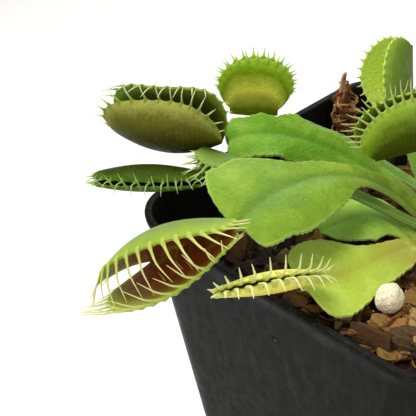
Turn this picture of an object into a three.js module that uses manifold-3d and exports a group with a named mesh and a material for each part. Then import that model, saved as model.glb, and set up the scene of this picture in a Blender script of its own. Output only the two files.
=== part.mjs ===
// Potted Venus flytrap: a square black nursery pot filled with bark soil, and a rosette of
// flat winged leaf stalks, each carrying a two-lobed trap with a fringe of teeth.
// Millimetres, +Z up, origin at the centre of the underside of the pot.
import * as THREE from "three";
import Module from "manifold-3d";

const wasm = await Module();
wasm.setup();

// Pot
const POT_HEIGHT = 76;
const RIM_SIDE = 76;
const RIM_RADIUS = 10.8;
const BASE_SIDE = 52;
const BASE_RADIUS = 7.4;
const WALL = 1.1;
const FLOOR = 1.2;
const BEAD_HEIGHT = 1.3;
const BEAD_OUT = 0.5;
const BASE_CHAMFER = 0.8;
const CORNER_STEPS = 5;
const DRAIN_RADIUS = 4.5;
const DRAIN_OFFSET = 15.5;
const DRAIN_STEPS = 14;

// Soil: heights are measured from the pot's rim
const GAP = 0.3;
const SOIL_LEVEL = -2;
const SOIL_HOLLOW = 4.2;
const HOLLOW_WIDTH = 10;
const SOIL_DROP = 14;
const DROP_START = 4;
const DROP_LENGTH = 34;
const SOIL_RINGS = 7;
const SOIL_SIDE_STEPS = 4;

// Crown, perlite grains, bark chunk and moss tuft
const CROWN = [8.5, 1.5];
const CROWN_PROFILE = [[0, -4.9], [3.5, -4.9], [3.9, -3.6], [2.3, -1.9], [1.9, 0], [0.8, 1.3], [0, 1.4]];
const CROWN_STEPS = 14;
const GRAINS = {
  perlite_large: { at: [17.5, -24.5], size: [2.5, 2.6, 2.8] },
  perlite_right: { at: [29, 12], size: [2.1, 1.8, 1.7] },
  perlite_back: { at: [14, 31], size: [1.7, 1.9, 1.6] },
};
const BARK = { at: [26.5, -29.5], size: [4.2, 2.6, 1.9], turn: 0.5 };
const LUMP_DETAIL = 2;
const LUMP_BUMP = 0.06;
const TUFT = { at: [-30.9, 22.5], radius: 3.1, height: 18.5, lean: -2.6, levels: 9, around: 10 };
const TUFT_BUMP = 0.16;
const LUMP_LIFT = 0.05;
const STRAND = { height: 5, turn: 2.4, back: 0.7, side: -0.8, root: 0.8, end: 0.3, steps: 5 };

// Leaf and trap sheets
const STALK_ROWS = 11;
const WING_COLUMNS = 2;
const MARGIN_THICKNESS = 0.8;
const RIB_THICKNESS = 1.5;
const LOBE_THICKNESS = 0.7;
const LOBE_COLUMNS = [-4, -3, -2, -1, 0, 1, 2, 3, 4];
const LOBE_ROWS = [0.3, 0.3, 0.5, 1, 1];
const LOBE_END = 0.2;
const TOOTH_KNEE = 0.45;
const TOOTH_WAIST = 0.4;
const TOOTH_END_LENGTH = 0.3;
const TOOTH_RISE = 0.15;
const TOOTH_START = -0.25;
const END_LEAN = 0.4;

// Heights in the tables below are measured from the pot's rim.
// rib: four control points of the stalk's midrib. up: direction of its upper side at base and end.
// right, left: outline of each wing as [along the rib, out from it], looking from base to end.
// fold: angle at which each wing rises from the rib. curl: how far it bends over by its margin.
// wave: height and number of the waves along the margins.
const LEAVES = {
  front: {
    rib: [[5.6, 0.6, -0.3], [-8.5, 0.1, 9.8], [-9.1, -24, 15], [-6.4, -38.5, 12.6]],
    up: [[0, -0.1, 1], [0.05, -0.1, 1]],
    right: [[0, 1], [9, 1.9], [16, 2.4], [25, 3.8], [29, 4.6], [33, 7.6], [36.8, 10.6], [40.2, 11.1],
      [43.2, 11.2], [46, 8.2], [47.8, 4.6], [48.7, 2]],
    left: [[0, 1], [7, 1.2], [12.6, 1.6], [17.3, 2.9], [21.7, 6], [26, 7.9], [31, 9.1], [36, 9.4],
      [41.7, 8.5], [46, 8], [48.8, 7], [49.5, 5.6], [49.3, 4], [48.8, 2.2]],
    fold: [-5, 20],
    curl: [-30, -12],
    wave: [0.5, 2.5],
    colour: "#93b83e",
  },
  left: {
    rib: [[6, 2.9, -0.3], [-10.3, 7.1, 0.7], [-21.5, -6.6, 14.7], [-23.9, -22.4, 15.4]],
    up: [[0.1, -0.2, 1], [0.1, -0.2, 1]],
    right: [[0, 0.9], [10, 1.4], [20, 2.4], [28, 3.8], [31.7, 5.4], [33.8, 5], [36.5, 3.6], [39, 4.4],
      [42, 3.9], [44.5, 4.3], [46.8, 2.6], [47.8, 0.9]],
    left: [[0, 0.9], [12, 1.5], [22, 3], [30, 4.8], [36, 5.6], [42, 5.4], [46, 4.8], [48.8, 4],
      [49.6, 3], [49.2, 1.8], [48, 0.9]],
    fold: [-12, 20],
    curl: [-10, -10],
    wave: [0.6, 3],
    colour: "#6fae35",
  },
  low: {
    rib: [[4, 0.8, -3], [-6, -1.8, -4.7], [-18, -14, 4], [-24.2, -26.4, 8.7]],
    up: [[0, 0, 1], [0, -0.1, 1]],
    right: [[0, 1], [10, 1.3], [20, 2.2], [29, 3.4], [36, 3.2], [42.1, 0.9]],
    left: [[0, 1], [10, 1.3], [20, 2.2], [29, 3.4], [36, 3.2], [42.1, 0.9]],
    fold: [8, 8],
    curl: [-10, -10],
    wave: [0.3, 2],
    colour: "#4f8a2c",
  },
  small: {
    rib: [[6.6, -1, -0.3], [1, -5, 2.4], [-11, -9, 7.6], [-17.05, -22.85, 13.75]],
    up: [[0, 0, 1], [0, -0.2, 1]],
    right: [[0, 0.8], [10, 1], [20, 1.3], [28, 1.5], [36.8, 0.8]],
    left: [[0, 0.8], [10, 1], [20, 1.3], [28, 1.5], [36.8, 0.8]],
    fold: [5, 5],
    curl: [0, 0],
    wave: [0, 1],
    colour: "#7fa845",
  },
  upright: {
    rib: [[7.6, 4.8, -0.6], [2, 11.5, -1.2], [-14, 6.5, 2.5], [-28.95, -2.48, 9.71]],
    up: [[0, 0.2, 1], [0, 0, 1]],
    right: [[0, 0.9], [10, 1.4], [20, 2.2], [30, 3], [36, 2.4], [39.6, 0.9]],
    left: [[0, 0.9], [10, 1.2], [20, 1.8], [30, 2.2], [36, 2], [39.6, 0.9]],
    fold: [8, 8],
    curl: [-8, -8],
    wave: [0.3, 2],
    colour: "#6aa033",
  },
  inner: {
    rib: [[9.9, 4.1, -0.2], [9, 8, 3], [6, 11, 7], [2.31, 9.31, 10.62]],
    up: [[0, -1, 0.4], [0.6, 0.2, 0.8]],
    right: [[0, 0.9], [4, 1.6], [8, 2.4], [11, 2.2], [14.2, 0.9]],
    left: [[0, 0.9], [4, 1.6], [8, 2.4], [11, 2.2], [14.2, 0.9]],
    fold: [10, 10],
    curl: [0, 0],
    wave: [0, 1],
    colour: "#86b23f",
  },
  back: {
    rib: [[5.3, 4.9, -3.1], [0, 11, -2.6], [-7.6, 17.4, 1.6], [-13.11, 20.57, 8.22]],
    up: [[0, 0, 1], [0.2, 0, 1]],
    right: [[0, 1], [8, 1.8], [14, 3.2], [19, 3.6], [23, 2.4], [26, 1]],
    left: [[0, 1], [8, 1.8], [14, 3.2], [19, 3.6], [23, 2.4], [26, 1]],
    fold: [8, 8],
    curl: [-8, -8],
    wave: [0.3, 2],
    colour: "#79a83a",
  },
  lower: {
    rib: [[9, -3.4, -3], [10.4, -10.3, 4], [7.4, -23.4, -1], [5.3, -33.15, 3.07]],
    up: [[0, 0, 1], [0, 0, 1]],
    right: [[0, 1.2], [6.2, 2.3], [10, 2.8], [14, 3.9], [16.8, 6], [19.7, 9], [22, 10], [25, 10.2],
      [27.4, 9.6], [29.8, 7.4], [31, 4.6], [31.5, 1.4]],
    left: [[0, 1.2], [5, 3], [10, 4.6], [16, 5.8], [20, 6.9], [23.3, 8.2], [25.8, 9], [28.4, 9.3],
      [30.4, 8.4], [31.2, 6.8], [31.6, 4.8], [31.5, 2.6]],
    fold: [-10, 10],
    curl: [2, -10],
    wave: [0.3, 2],
    colour: "#9dbf48",
  },
  tucked: {
    rib: [[6.9, -3.4, -3], [-1, -2.9, 1.3], [-3.7, -10.2, 1.4], [-6.7, -15.2, -1]],
    up: [[0, 0, 1], [0, 0, 1]],
    right: [[0, 1.1], [5, 3.6], [8.5, 6.4], [12, 6.2], [16, 4.2], [18.6, 2.2], [20.3, 0.7]],
    left: [[0, 1.1], [5, 4], [9.6, 7.4], [14, 7.6], [17.5, 5.6], [19.3, 2.8], [20.3, 0.7]],
    fold: [8, 8],
    curl: [-10, -10],
    wave: [0.3, 2],
    colour: "#5f9a35",
  },
  right_a: {
    rib: [[12.15, 0.25, -2.8], [17, -1.5, 6], [24.5, -4, 1.6], [28.4, -5.2, 6.1]],
    up: [[-0.2, 0, 1], [0, 0, 1]],
    right: [[0, 1.1], [4, 2.4], [8, 5.2], [11, 7], [13.6, 6.4], [15.6, 4.4], [17, 2.2], [18.4, 0.9]],
    left: [[0, 1.1], [4, 2.4], [8, 5.2], [11, 7], [13.6, 6.4], [15.6, 4.4], [17, 2.2], [18.4, 0.9]],
    fold: [2, 2],
    curl: [-24, -24],
    wave: [0.4, 2],
    colour: "#8db53d",
  },
  right_b: {
    rib: [[12.4, 4.1, -2.8], [16, 7, 6], [22, 12, 5.5], [25.2, 15.2, 10.6]],
    up: [[-0.3, -0.2, 1], [0, 0, 1]],
    right: [[0, 1.1], [5, 2.2], [9, 4.4], [13, 5.8], [16.5, 4.8], [19.4, 2.4], [22, 0.9]],
    left: [[0, 1.1], [5, 1.6], [9, 2.8], [13, 5.8], [16.5, 4.8], [19.4, 2.4], [22, 0.9]],
    fold: [2, 2],
    curl: [-24, -24],
    wave: [0.4, 2],
    colour: "#76a937",
  },
  right_c: {
    rib: [[9.6, 6.1, -2.8], [10, 10, 7], [11.2, 19, 3.5], [12, 23.4, 8.5]],
    up: [[0, -0.3, 1], [0, 0, 1]],
    right: [[0, 1.1], [5, 1.6], [9, 3.2], [12.5, 5.2], [15.6, 5], [18.6, 2.4], [21, 0.9]],
    left: [[0, 1.1], [5, 2.2], [9, 4.8], [12.5, 6.2], [15.6, 5.2], [18.6, 2.4], [21, 0.9]],
    fold: [2, 2],
    curl: [-24, -24],
    wave: [0.4, 2],
    colour: "#83af3b",
  },
};

// base, tip: ends of the trap's hinge. mouth: direction in which it opens.
// half: half the length of a lobe. height: from hinge to rim, measured over the lobe.
// open: for the left and the right lobe, its angle from the middle plane at hinge and rim.
// bow: how far the hinge bulges. cup: how much the lobes close in towards their ends.
// lead: slant of the lobes towards the tip. lean: angle of the teeth at their root and tip.
// shut: how far the low ends of a lobe still curl like its middle, so that the rims meet.
// sweep: how far the teeth of each lobe slant towards the tip.
const TRAPS = {
  front: {
    base: [-6.7, -39.9, 12.3], tip: [-22.2, -45.4, -0.6], mouth: [0.21, -0.99, 0.06],
    half: 16.4, height: 17.5, open: [[68, -28], [28, -3]], bow: 2.1, cup: 0.73, lead: -1.1, shut: 0,
    teeth: 23, length: 8.4, lean: [[-50, -80], [-30, -56]], sweep: [-0.4, 0.5],
    colour: "#8f9a3c",
  },
  left: {
    base: [-24.4, -23.7, 15.5], tip: [-45.4, -29.5, 10.6], mouth: [-0.15, -0.24, 0.96],
    half: 13.4, height: 15.3, open: [[52, -37], [70, -76]], bow: 3.8, cup: 0.48, lead: 0.1, shut: 0,
    teeth: 16, length: 4.6, lean: [[-70, -95], [-10, -40]], sweep: [0, 0.2],
    colour: "#6d6f1c",
  },
  low: {
    base: [-25, -27.4, 8.9], tip: [-43.1, -37.2, 5.5], mouth: [0.3, -0.9, 0.25],
    half: 12, height: 9, open: [[67, -66], [40, -40]], bow: 1, cup: 0.6, lead: 0, shut: 0.7,
    teeth: 14, length: 4, lean: [[5, -70], [-60, -60]], sweep: [0, 0.2],
    colour: "#4c6a24",
  },
  small: {
    base: [-18.1, -24.5, 14.55], tip: [-26.35, -26.9, 14.75], mouth: [0.22, -0.93, -0.28],
    half: 4.9, height: 4.5, open: [[34, -16], [34, -16]], bow: 0, cup: 0.5, lead: 0, shut: 0,
    teeth: 10, length: 4.4, lean: [[-14, -8], [-20, -10]], sweep: [0.3, 0.3],
    colour: "#7c9c46",
  },
  upright: {
    base: [-29.1, -2.6, 9.8], tip: [-36.9, -9.3, 10], mouth: [-0.19, 0.26, 0.94],
    half: 8.1, height: 11.7, open: [[34, 13], [22, 4]], bow: 0.6, cup: 0.32, lead: -0.4, shut: 0,
    teeth: 16, length: 1.9, lean: [[10, 0], [6, 0]], sweep: [0, 0],
    colour: "#7fa02c",
  },
  inner: {
    base: [2.2, 9.2, 10.7], tip: [-4.2, -3.2, 9.9], mouth: [0, -0.08, 1],
    half: 11.1, height: 13.4, open: [[36, -30], [35, -29]], bow: 0, cup: 0.4, lead: 0, shut: 0,
    teeth: 26, length: 5, lean: [[-34, -20], [-20, 10]], sweep: [0, 0], colour: "#7b9a26",
  },
  back: {
    base: [-13.2, 20.6, 8.3], tip: [-17.3, 24.3, 19.8], mouth: [-0.26, -0.9, 0.3],
    half: 8.5, height: 10.8, open: [[30, 8], [32, 10]], bow: 0, cup: 0.4, lead: 0, shut: 0,
    teeth: 18, length: 1.1, lean: [[8, 0], [8, 0]], sweep: [0, 0],
    colour: "#93b54a",
  },
  lower: {
    base: [5.3, -33.5, 3.6], tip: [0.6, -50.4, 7.6], mouth: [0.98, 0.66, 0.56],
    half: 11.3, height: 6.4, open: [[56, -47], [48, -51]], bow: -0.4, cup: 0.9, lead: 0, shut: 0.6,
    teeth: 15, length: 4.8, lean: [[12, 70], [0, 70]], sweep: [0, 0], colour: "#b9b04e",
  },
  right_a: {
    base: [28.9, -5.35, 6.7], tip: [42, -9.4, 8.4], mouth: [0, 0.1, 1],
    half: 11, height: 11.5, open: [[52, 16], [52, 16]], bow: 0.4, cup: 0.4, lead: 0, shut: 0,
    teeth: 13, length: 7, lean: [[0, -30], [0, -30]], sweep: [0, 0], colour: "#8f9a3c",
  },
  right_b: {
    base: [25.57, 15.57, 11.2], tip: [34.1, 24.1, 12.1], mouth: [-0.2, -0.1, 1],
    half: 9.4, height: 10, open: [[58, -44], [58, -44]], bow: 0.6, cup: 0.45, lead: 0, shut: 0,
    teeth: 11, length: 5, lean: [[-36, -16], [-36, -16]], sweep: [0, 0], colour: "#6d6f1c",
  },
  right_c: {
    base: [12.15, 23.8, 9], tip: [14.5, 36.2, 10.8], mouth: [0.1, -0.1, 1],
    half: 10.4, height: 11, open: [[50, 10], [50, 10]], bow: 0.4, cup: 0.4, lead: 0, shut: 0,
    teeth: 12, length: 6.4, lean: [[-4, -34], [-4, -34]], sweep: [0, 0], colour: "#7fa02c",
  },
};

const radians = THREE.MathUtils.degToRad;
const vector = (p) => new THREE.Vector3(p[0], p[1], p[2]);
const aboveRim = (p) => new THREE.Vector3(p[0], p[1], p[2] + POT_HEIGHT);

// A closed solid collected from corner points and triangles
class Solid {
  constructor() {
    this.points = [];
    this.faces = [];
  }

  add(point) {
    this.points.push(point.clone());
    return this.points.length - 1;
  }

  triangle(a, b, c) {
    this.faces.push([a, b, c]);
  }

  quad(a, b, c, d) {
    this.triangle(a, b, c);
    this.triangle(a, c, d);
  }

  // Triangles between two rows of points that may differ in number
  stitch(first, second) {
    let i = 0;
    let j = 0;
    while (i < first.length - 1 || j < second.length - 1) {
      const nextFirst = (i + 1) / (first.length - 1);
      const nextSecond = (j + 1) / (second.length - 1);
      if (j === second.length - 1 || (i < first.length - 1 && nextFirst <= nextSecond)) {
        this.triangle(first[i], first[i + 1], second[j]);
        i += 1;
      } else {
        this.triangle(first[i], second[j + 1], second[j]);
        j += 1;
      }
    }
  }

  // Fan from a centre point over a closed ring
  cap(centre, ring) {
    ring.forEach((a, i) => this.triangle(centre, a, ring[(i + 1) % ring.length]));
  }

  tube(first, second) {
    first.forEach((a, i) => {
      const j = (i + 1) % first.length;
      this.quad(a, first[j], second[j], second[i]);
    });
  }

  volume() {
    return this.faces.reduce((sum, [a, b, c]) => {
      const cross = new THREE.Vector3().crossVectors(this.points[b], this.points[c]);
      return sum + this.points[a].dot(cross) / 6;
    }, 0);
  }

  geometry() {
    const inward = this.volume() < 0;
    const geometry = new THREE.BufferGeometry();
    const order = this.faces.map(([a, b, c]) => (inward ? [a, c, b] : [a, b, c]));
    const values = this.points.flatMap((p) => [p.x, p.y, p.z]);
    geometry.setAttribute("position", new THREE.Float32BufferAttribute(values, 3));
    geometry.setIndex(order.flat());
    geometry.computeVertexNormals();
    return geometry;
  }
}

// Midrib of a leaf stalk, with the frame that its wings are laid out in
class Rib {
  constructor(leaf) {
    this.curve = new THREE.CubicBezierCurve3(...leaf.rib.map(aboveRim));
    this.length = this.curve.getLength();
    this.up = leaf.up.map((p) => vector(p).normalize());
  }

  frame(along) {
    const t = this.curve.getUtoTmapping(0, Math.min(Math.max(along, 0), this.length));
    const u = Math.min(Math.max(along / this.length, 0), 1);
    const point = this.curve.getPoint(t);
    const forward = this.curve.getTangent(t);
    point.addScaledVector(forward, along - u * this.length);
    const normal = this.up[0].clone().lerp(this.up[1], u);
    normal.addScaledVector(forward, -normal.dot(forward)).normalize();
    const side = new THREE.Vector3().crossVectors(normal, forward);
    return { point, normal, side };
  }
}

// Smooth curve through an outline, measured by its own length
function outlineCurve(outline) {
  const points = outline.map(([along, out]) => new THREE.Vector3(along, out, 0));
  return new THREE.CatmullRomCurve3(points, false, "catmullrom", 0.5);
}

// Point on a wing: t along its outline, s from midrib to margin, side 0 left and 1 right
function wingPoint(leaf, rib, side, t, s) {
  const outline = side === 0 ? leaf.left : leaf.right;
  const widest = Math.max(...outline.map((p) => p[1]));
  const end = outlineCurve(outline).getPointAt(t);
  const out = s * end.y;
  const frame = rib.frame((1 - s) * t * rib.length + s * end.x);
  const fold = radians(leaf.fold[side]);
  const bend = radians(leaf.curl[side] || 0.01) / widest;
  const across = (Math.sin(fold + bend * out) - Math.sin(fold)) / bend;
  const rise = (Math.cos(fold) - Math.cos(fold + bend * out)) / bend;
  const ripple = leaf.wave[0] * (out / widest) ** 2 * Math.sin(2 * Math.PI * leaf.wave[1] * t);
  frame.point.addScaledVector(frame.side, side === 0 ? across : -across);
  frame.point.addScaledVector(frame.normal, rise + ripple);
  return frame;
}

// Closed sheet between two surfaces, each given as columns of points. Triangles are alike on both.
function sheet(first, second) {
  const solid = new Solid();
  const upper = first.map((column) => column.map((p) => solid.add(p)));
  const lower = second.map((column) => column.map((p) => solid.add(p)));
  for (let k = 0; k + 1 < upper.length; k += 1) {
    solid.stitch(upper[k], upper[k + 1]);
  }
  const twin = new Map();
  upper.forEach((column, k) => column.forEach((i, n) => twin.set(i, lower[k][n])));
  for (const [a, b, c] of [...solid.faces]) {
    solid.triangle(twin.get(a), twin.get(c), twin.get(b));
  }
  for (let k = 0; k + 1 < upper.length; k += 1) {
    const end = upper[k].length - 1;
    const nextEnd = upper[k + 1].length - 1;
    solid.quad(upper[k][0], upper[k + 1][0], lower[k + 1][0], lower[k][0]);
    solid.quad(upper[k + 1][nextEnd], upper[k][end], lower[k][end], lower[k + 1][nextEnd]);
  }
  return { solid, upper, lower };
}

// Flat winged stalk of a leaf
function stalk(leaf) {
  const rib = new Rib(leaf);
  const top = [];
  const bottom = [];
  for (let k = -WING_COLUMNS; k <= WING_COLUMNS; k += 1) {
    const thickness = k === 0 ? RIB_THICKNESS : MARGIN_THICKNESS;
    const frames = [];
    for (let i = 0; i <= STALK_ROWS; i += 1) {
      frames.push(wingPoint(leaf, rib, k < 0 ? 1 : 0, i / STALK_ROWS, Math.abs(k) / WING_COLUMNS));
    }
    top.push(frames.map(({ point }) => point));
    bottom.push(frames.map(({ point, normal }) => point.clone().addScaledVector(normal, -thickness)));
  }
  const { solid, upper, lower } = sheet(top, bottom);
  for (const [k, turn] of [[0, 1], [upper.length - 1, -1]]) {
    for (let i = 0; i + 1 < upper[k].length; i += 1) {
      const ring = [upper[k][i], lower[k][i], lower[k][i + 1], upper[k][i + 1]];
      solid.quad(...(turn > 0 ? ring : ring.reverse()));
    }
  }
  return solid;
}

// Trap: two kidney-shaped lobes on a hinge
class Trap {
  constructor(form) {
    Object.assign(this, form);
    this.origin = aboveRim(form.base);
    this.ahead = aboveRim(form.tip).sub(this.origin);
    this.hinge = this.ahead.length() - LOBE_THICKNESS;
    this.ahead.normalize();
    this.forth = vector(form.mouth);
    this.forth.addScaledVector(this.ahead, -this.forth.dot(this.ahead)).normalize();
    this.sideways = new THREE.Vector3().crossVectors(this.ahead, this.forth);
    this.hingeDepth = LOBE_THICKNESS / Math.sin(radians((form.open[0][0] + form.open[1][0]) / 2));
    this.origin.addScaledVector(this.ahead, LOBE_THICKNESS / 2);
    this.origin.addScaledVector(this.forth, this.hingeDepth);
    this.half = form.half - LOBE_THICKNESS;
    this.height = form.height - LOBE_THICKNESS;
    const cosine = Math.min(0.98, this.hinge / 2 / this.half);
    const start = Math.acos(cosine);
    this.reach = this.height / (1 + Math.sin(start));
    this.middle = this.height - this.reach;
    this.fullness = Math.sin(start);
    this.from = -start + LOBE_END;
    this.to = Math.PI + start - LOBE_END;
  }

  // Rim of a lobe laid flat: u from 0 at the stalk to 1 at the tip
  rim(u) {
    const angle = this.from + (this.to - this.from) * u;
    const slant = this.lead * (Math.sin(angle) + this.fullness) / (1 + this.fullness);
    const along = this.hinge / 2 - this.half * Math.cos(angle) + slant;
    return { along, out: this.middle + this.reach * Math.sin(angle), angle };
  }

  // Point on a lobe, on its inner face or set off outwards by a depth; side 1 is left, -1 right
  point(along, out, side, depth) {
    const [hinge, rim] = this.open[side > 0 ? 0 : 1].map(radians);
    const q = (along - this.hinge / 2) / this.half;
    const reach = this.reach * (1 - this.shut + this.shut * Math.sqrt(Math.max(0, 1 - q * q)));
    const bend = (rim - hinge) / (this.middle + reach);
    const lean = hinge + bend * out;
    const forth = (Math.sin(lean) - Math.sin(hinge)) / bend;
    const away = (Math.cos(hinge) - Math.cos(lean)) / bend;
    return this.origin.clone()
      .addScaledVector(this.ahead, along)
      .addScaledVector(this.forth, forth - depth * Math.sin(lean) - this.bow * (1 - q * q))
      .addScaledVector(this.sideways, side * (away * (1 - this.cup * q * q) + depth * Math.cos(lean)));
  }

  // Column of points from the stalk's end to the tip, at a share s of the way from hinge to rim
  column(side, s, steps, depth) {
    const points = [];
    for (let i = 0; i <= steps; i += 1) {
      const u = i / steps;
      const { along, out } = this.rim(u);
      const start = this.hinge * u;
      const point = this.point(start + (along - start) * s, out * s, side, s > 0 ? depth : 0);
      points.push(s > 0 ? point : point.addScaledVector(this.forth, -depth * this.hingeDepth / LOBE_THICKNESS));
    }
    return points;
  }

  // Direction of a tooth at rim position u, leaning by the given angle
  toothDirection(u, side, lean) {
    const { angle } = this.rim(u);
    const rise = Math.max(Math.sin(angle), TOOTH_RISE);
    const slant = this.sweep[side > 0 ? 0 : 1] - Math.cos(angle);
    const flat = new THREE.Vector2(slant * this.reach, rise * this.half);
    flat.normalize();
    return new THREE.Vector3()
      .addScaledVector(this.ahead, flat.x)
      .addScaledVector(this.forth, flat.y * Math.cos(lean))
      .addScaledVector(this.sideways, flat.y * side * Math.sin(lean));
  }
}

function trap(form) {
  const shape = new Trap(form);
  const rimSteps = 2 * form.teeth + 1;
  const last = LOBE_ROWS.length - 1;
  const columns = (depth) => LOBE_COLUMNS.map((k) => {
    const steps = Math.round(rimSteps * LOBE_ROWS[Math.abs(k)]);
    return shape.column(k > 0 ? -1 : 1, Math.abs(k) / last, steps, depth);
  });
  const { solid, upper, lower } = sheet(columns(0), columns(LOBE_THICKNESS));
  for (const [k, side] of [[0, 1], [upper.length - 1, -1]]) {
    for (let i = 0; i < rimSteps; i += 1) {
      const root = [upper[k][i], lower[k][i], lower[k][i + 1], upper[k][i + 1]];
      if (side < 0) {
        root.reverse();
      }
      const u = (i + 0.5) / rimSteps;
      const isTurn = side > 0 ? i % 2 === 1 : i % 2 === 0;
      if (isTurn && Math.sin(shape.rim(u).angle) > TOOTH_START) {
        tooth(solid, shape, root, side, u);
      } else {
        solid.quad(...root);
      }
    }
  }
  return solid;
}

// Tooth grown from four corners of the rim: a waisted root part and a tapering point
function tooth(solid, shape, root, side, u) {
  const long = shape.length * (TOOTH_END_LENGTH + (1 - TOOTH_END_LENGTH) * Math.sin(Math.PI * u));
  const inward = END_LEAN + (1 - END_LEAN) * Math.sin(Math.PI * u);
  const [rootLean, tipLean] = shape.lean[side > 0 ? 0 : 1].map((angle) => radians(angle * inward));
  const corners = root.map((i) => solid.points[i]);
  const centre = corners.reduce((sum, p) => sum.add(p), new THREE.Vector3()).divideScalar(4);
  const first = shape.toothDirection(u, side, rootLean);
  const second = shape.toothDirection(u, side, tipLean);
  const knee = centre.clone().addScaledVector(first, long * TOOTH_KNEE);
  const tip = knee.clone().addScaledVector(second, long * (1 - TOOTH_KNEE));
  const edge = corners[3].clone().sub(corners[0]).normalize();
  const across = corners[1].clone().sub(corners[0]);
  across.addScaledVector(edge, -across.dot(edge)).normalize();
  const turned = new THREE.Vector3().crossVectors(first.clone().add(second), edge).normalize();
  turned.multiplyScalar(Math.sign(turned.dot(across)) || 1);
  const ring = corners.map((corner) => {
    const offset = corner.clone().sub(centre).multiplyScalar(TOOTH_WAIST);
    const point = knee.clone().addScaledVector(edge, offset.dot(edge));
    return solid.add(point.addScaledVector(turned, offset.dot(across)));
  });
  solid.tube(root, ring);
  const point = solid.add(tip);
  ring.forEach((a, i) => solid.triangle(a, ring[(i + 1) % ring.length], point));
}

// Rounded square of the given side, radius and height; sideSteps divides its straight sides
function roundedSquare(side, radius, height, sideSteps = 1) {
  const points = [];
  const centre = side / 2 - radius;
  for (let corner = 0; corner < 4; corner += 1) {
    const turn = corner * Math.PI / 2;
    const x = centre * Math.sign(Math.cos(turn + Math.PI / 4));
    const y = centre * Math.sign(Math.sin(turn + Math.PI / 4));
    for (let i = 0; i <= CORNER_STEPS; i += 1) {
      const angle = turn + (i / CORNER_STEPS) * Math.PI / 2;
      points.push(new THREE.Vector3(x + radius * Math.cos(angle), y + radius * Math.sin(angle), height));
    }
    const along = new THREE.Vector3(-Math.sin(turn + Math.PI / 2), Math.cos(turn + Math.PI / 2), 0);
    const from = points[points.length - 1];
    for (let i = 1; i < sideSteps; i += 1) {
      points.push(from.clone().addScaledVector(along, 2 * centre * i / sideSteps));
    }
  }
  return points;
}

// Outline of the pot's wall at a height, moved in from the outer face by an inset
function wallRing(height, inset, sideSteps = 1) {
  const t = height / POT_HEIGHT;
  const side = BASE_SIDE + (RIM_SIDE - 2 * BEAD_OUT - BASE_SIDE) * t - 2 * inset;
  const radius = BASE_RADIUS + (RIM_RADIUS - BEAD_OUT - BASE_RADIUS) * t - inset;
  return roundedSquare(side, radius, height, sideSteps);
}

function potGeometry() {
  const solid = new Solid();
  const foot = roundedSquare(BASE_SIDE - 2 * BASE_CHAMFER, BASE_RADIUS - BASE_CHAMFER, 0);
  const beadFoot = POT_HEIGHT - BEAD_HEIGHT;
  const profile = [
    foot,
    wallRing(BASE_CHAMFER, 0),
    wallRing(beadFoot - BEAD_OUT, 0),
    wallRing(beadFoot, -BEAD_OUT),
    roundedSquare(RIM_SIDE, RIM_RADIUS, POT_HEIGHT - BEAD_OUT / 2),
    wallRing(POT_HEIGHT, -BEAD_OUT / 2),
    wallRing(POT_HEIGHT, WALL),
    wallRing(FLOOR, WALL),
  ];
  const rings = profile.map((ring) => ring.map((p) => solid.add(p)));
  for (let i = 0; i + 1 < rings.length; i += 1) {
    solid.tube(rings[i], rings[i + 1]);
  }
  solid.cap(solid.add(vector([0, 0, 0])), [...rings[0]].reverse());
  solid.cap(solid.add(vector([0, 0, FLOOR])), rings[rings.length - 1]);
  let body = manifold(solid.geometry());
  for (const x of [-DRAIN_OFFSET, DRAIN_OFFSET]) {
    for (const y of [-DRAIN_OFFSET, DRAIN_OFFSET]) {
      const hole = new THREE.CylinderGeometry(DRAIN_RADIUS, DRAIN_RADIUS, 4 * FLOOR, DRAIN_STEPS);
      hole.rotateX(Math.PI / 2);
      hole.translate(x, y, 0);
      body = body.subtract(manifold(welded(hole)));
    }
  }
  return fromManifold(body);
}

// Geometry with its coinciding corners joined
function welded(geometry) {
  const solid = new Solid();
  const known = new Map();
  const position = geometry.getAttribute("position");
  const index = [];
  for (let i = 0; i < position.count; i += 1) {
    const point = new THREE.Vector3().fromBufferAttribute(position, i);
    const key = point.toArray().map((value) => Math.round(value * 1e4)).join(" ");
    if (!known.has(key)) {
      known.set(key, solid.add(point));
    }
    index.push(known.get(key));
  }
  const order = geometry.getIndex().array;
  for (let i = 0; i < order.length; i += 3) {
    const [a, b, c] = [order[i], order[i + 1], order[i + 2]].map((n) => index[n]);
    if (a !== b && b !== c && c !== a) {
      solid.triangle(a, b, c);
    }
  }
  return solid.geometry();
}

function manifold(geometry) {
  return new wasm.Manifold(new wasm.Mesh({
    numProp: 3,
    vertProperties: new Float32Array(geometry.getAttribute("position").array),
    triVerts: new Uint32Array(geometry.getIndex().array),
  }));
}

function fromManifold(body) {
  const mesh = body.getMesh();
  const geometry = new THREE.BufferGeometry();
  geometry.setAttribute("position", new THREE.Float32BufferAttribute(mesh.vertProperties, 3));
  geometry.setIndex([...mesh.triVerts]);
  geometry.computeVertexNormals();
  return geometry;
}

// Height of the soil above the floor: level near the front and right, sunken to the left
function soilHeight(x, y) {
  const distance = (x - CROWN[0]) ** 2 + (y - CROWN[1]) ** 2;
  const hollow = SOIL_HOLLOW * Math.exp(-distance / (2 * HOLLOW_WIDTH ** 2));
  const t = THREE.MathUtils.smoothstep(DROP_START - x, 0, DROP_LENGTH);
  return POT_HEIGHT + SOIL_LEVEL - hollow - SOIL_DROP * t;
}

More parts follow.
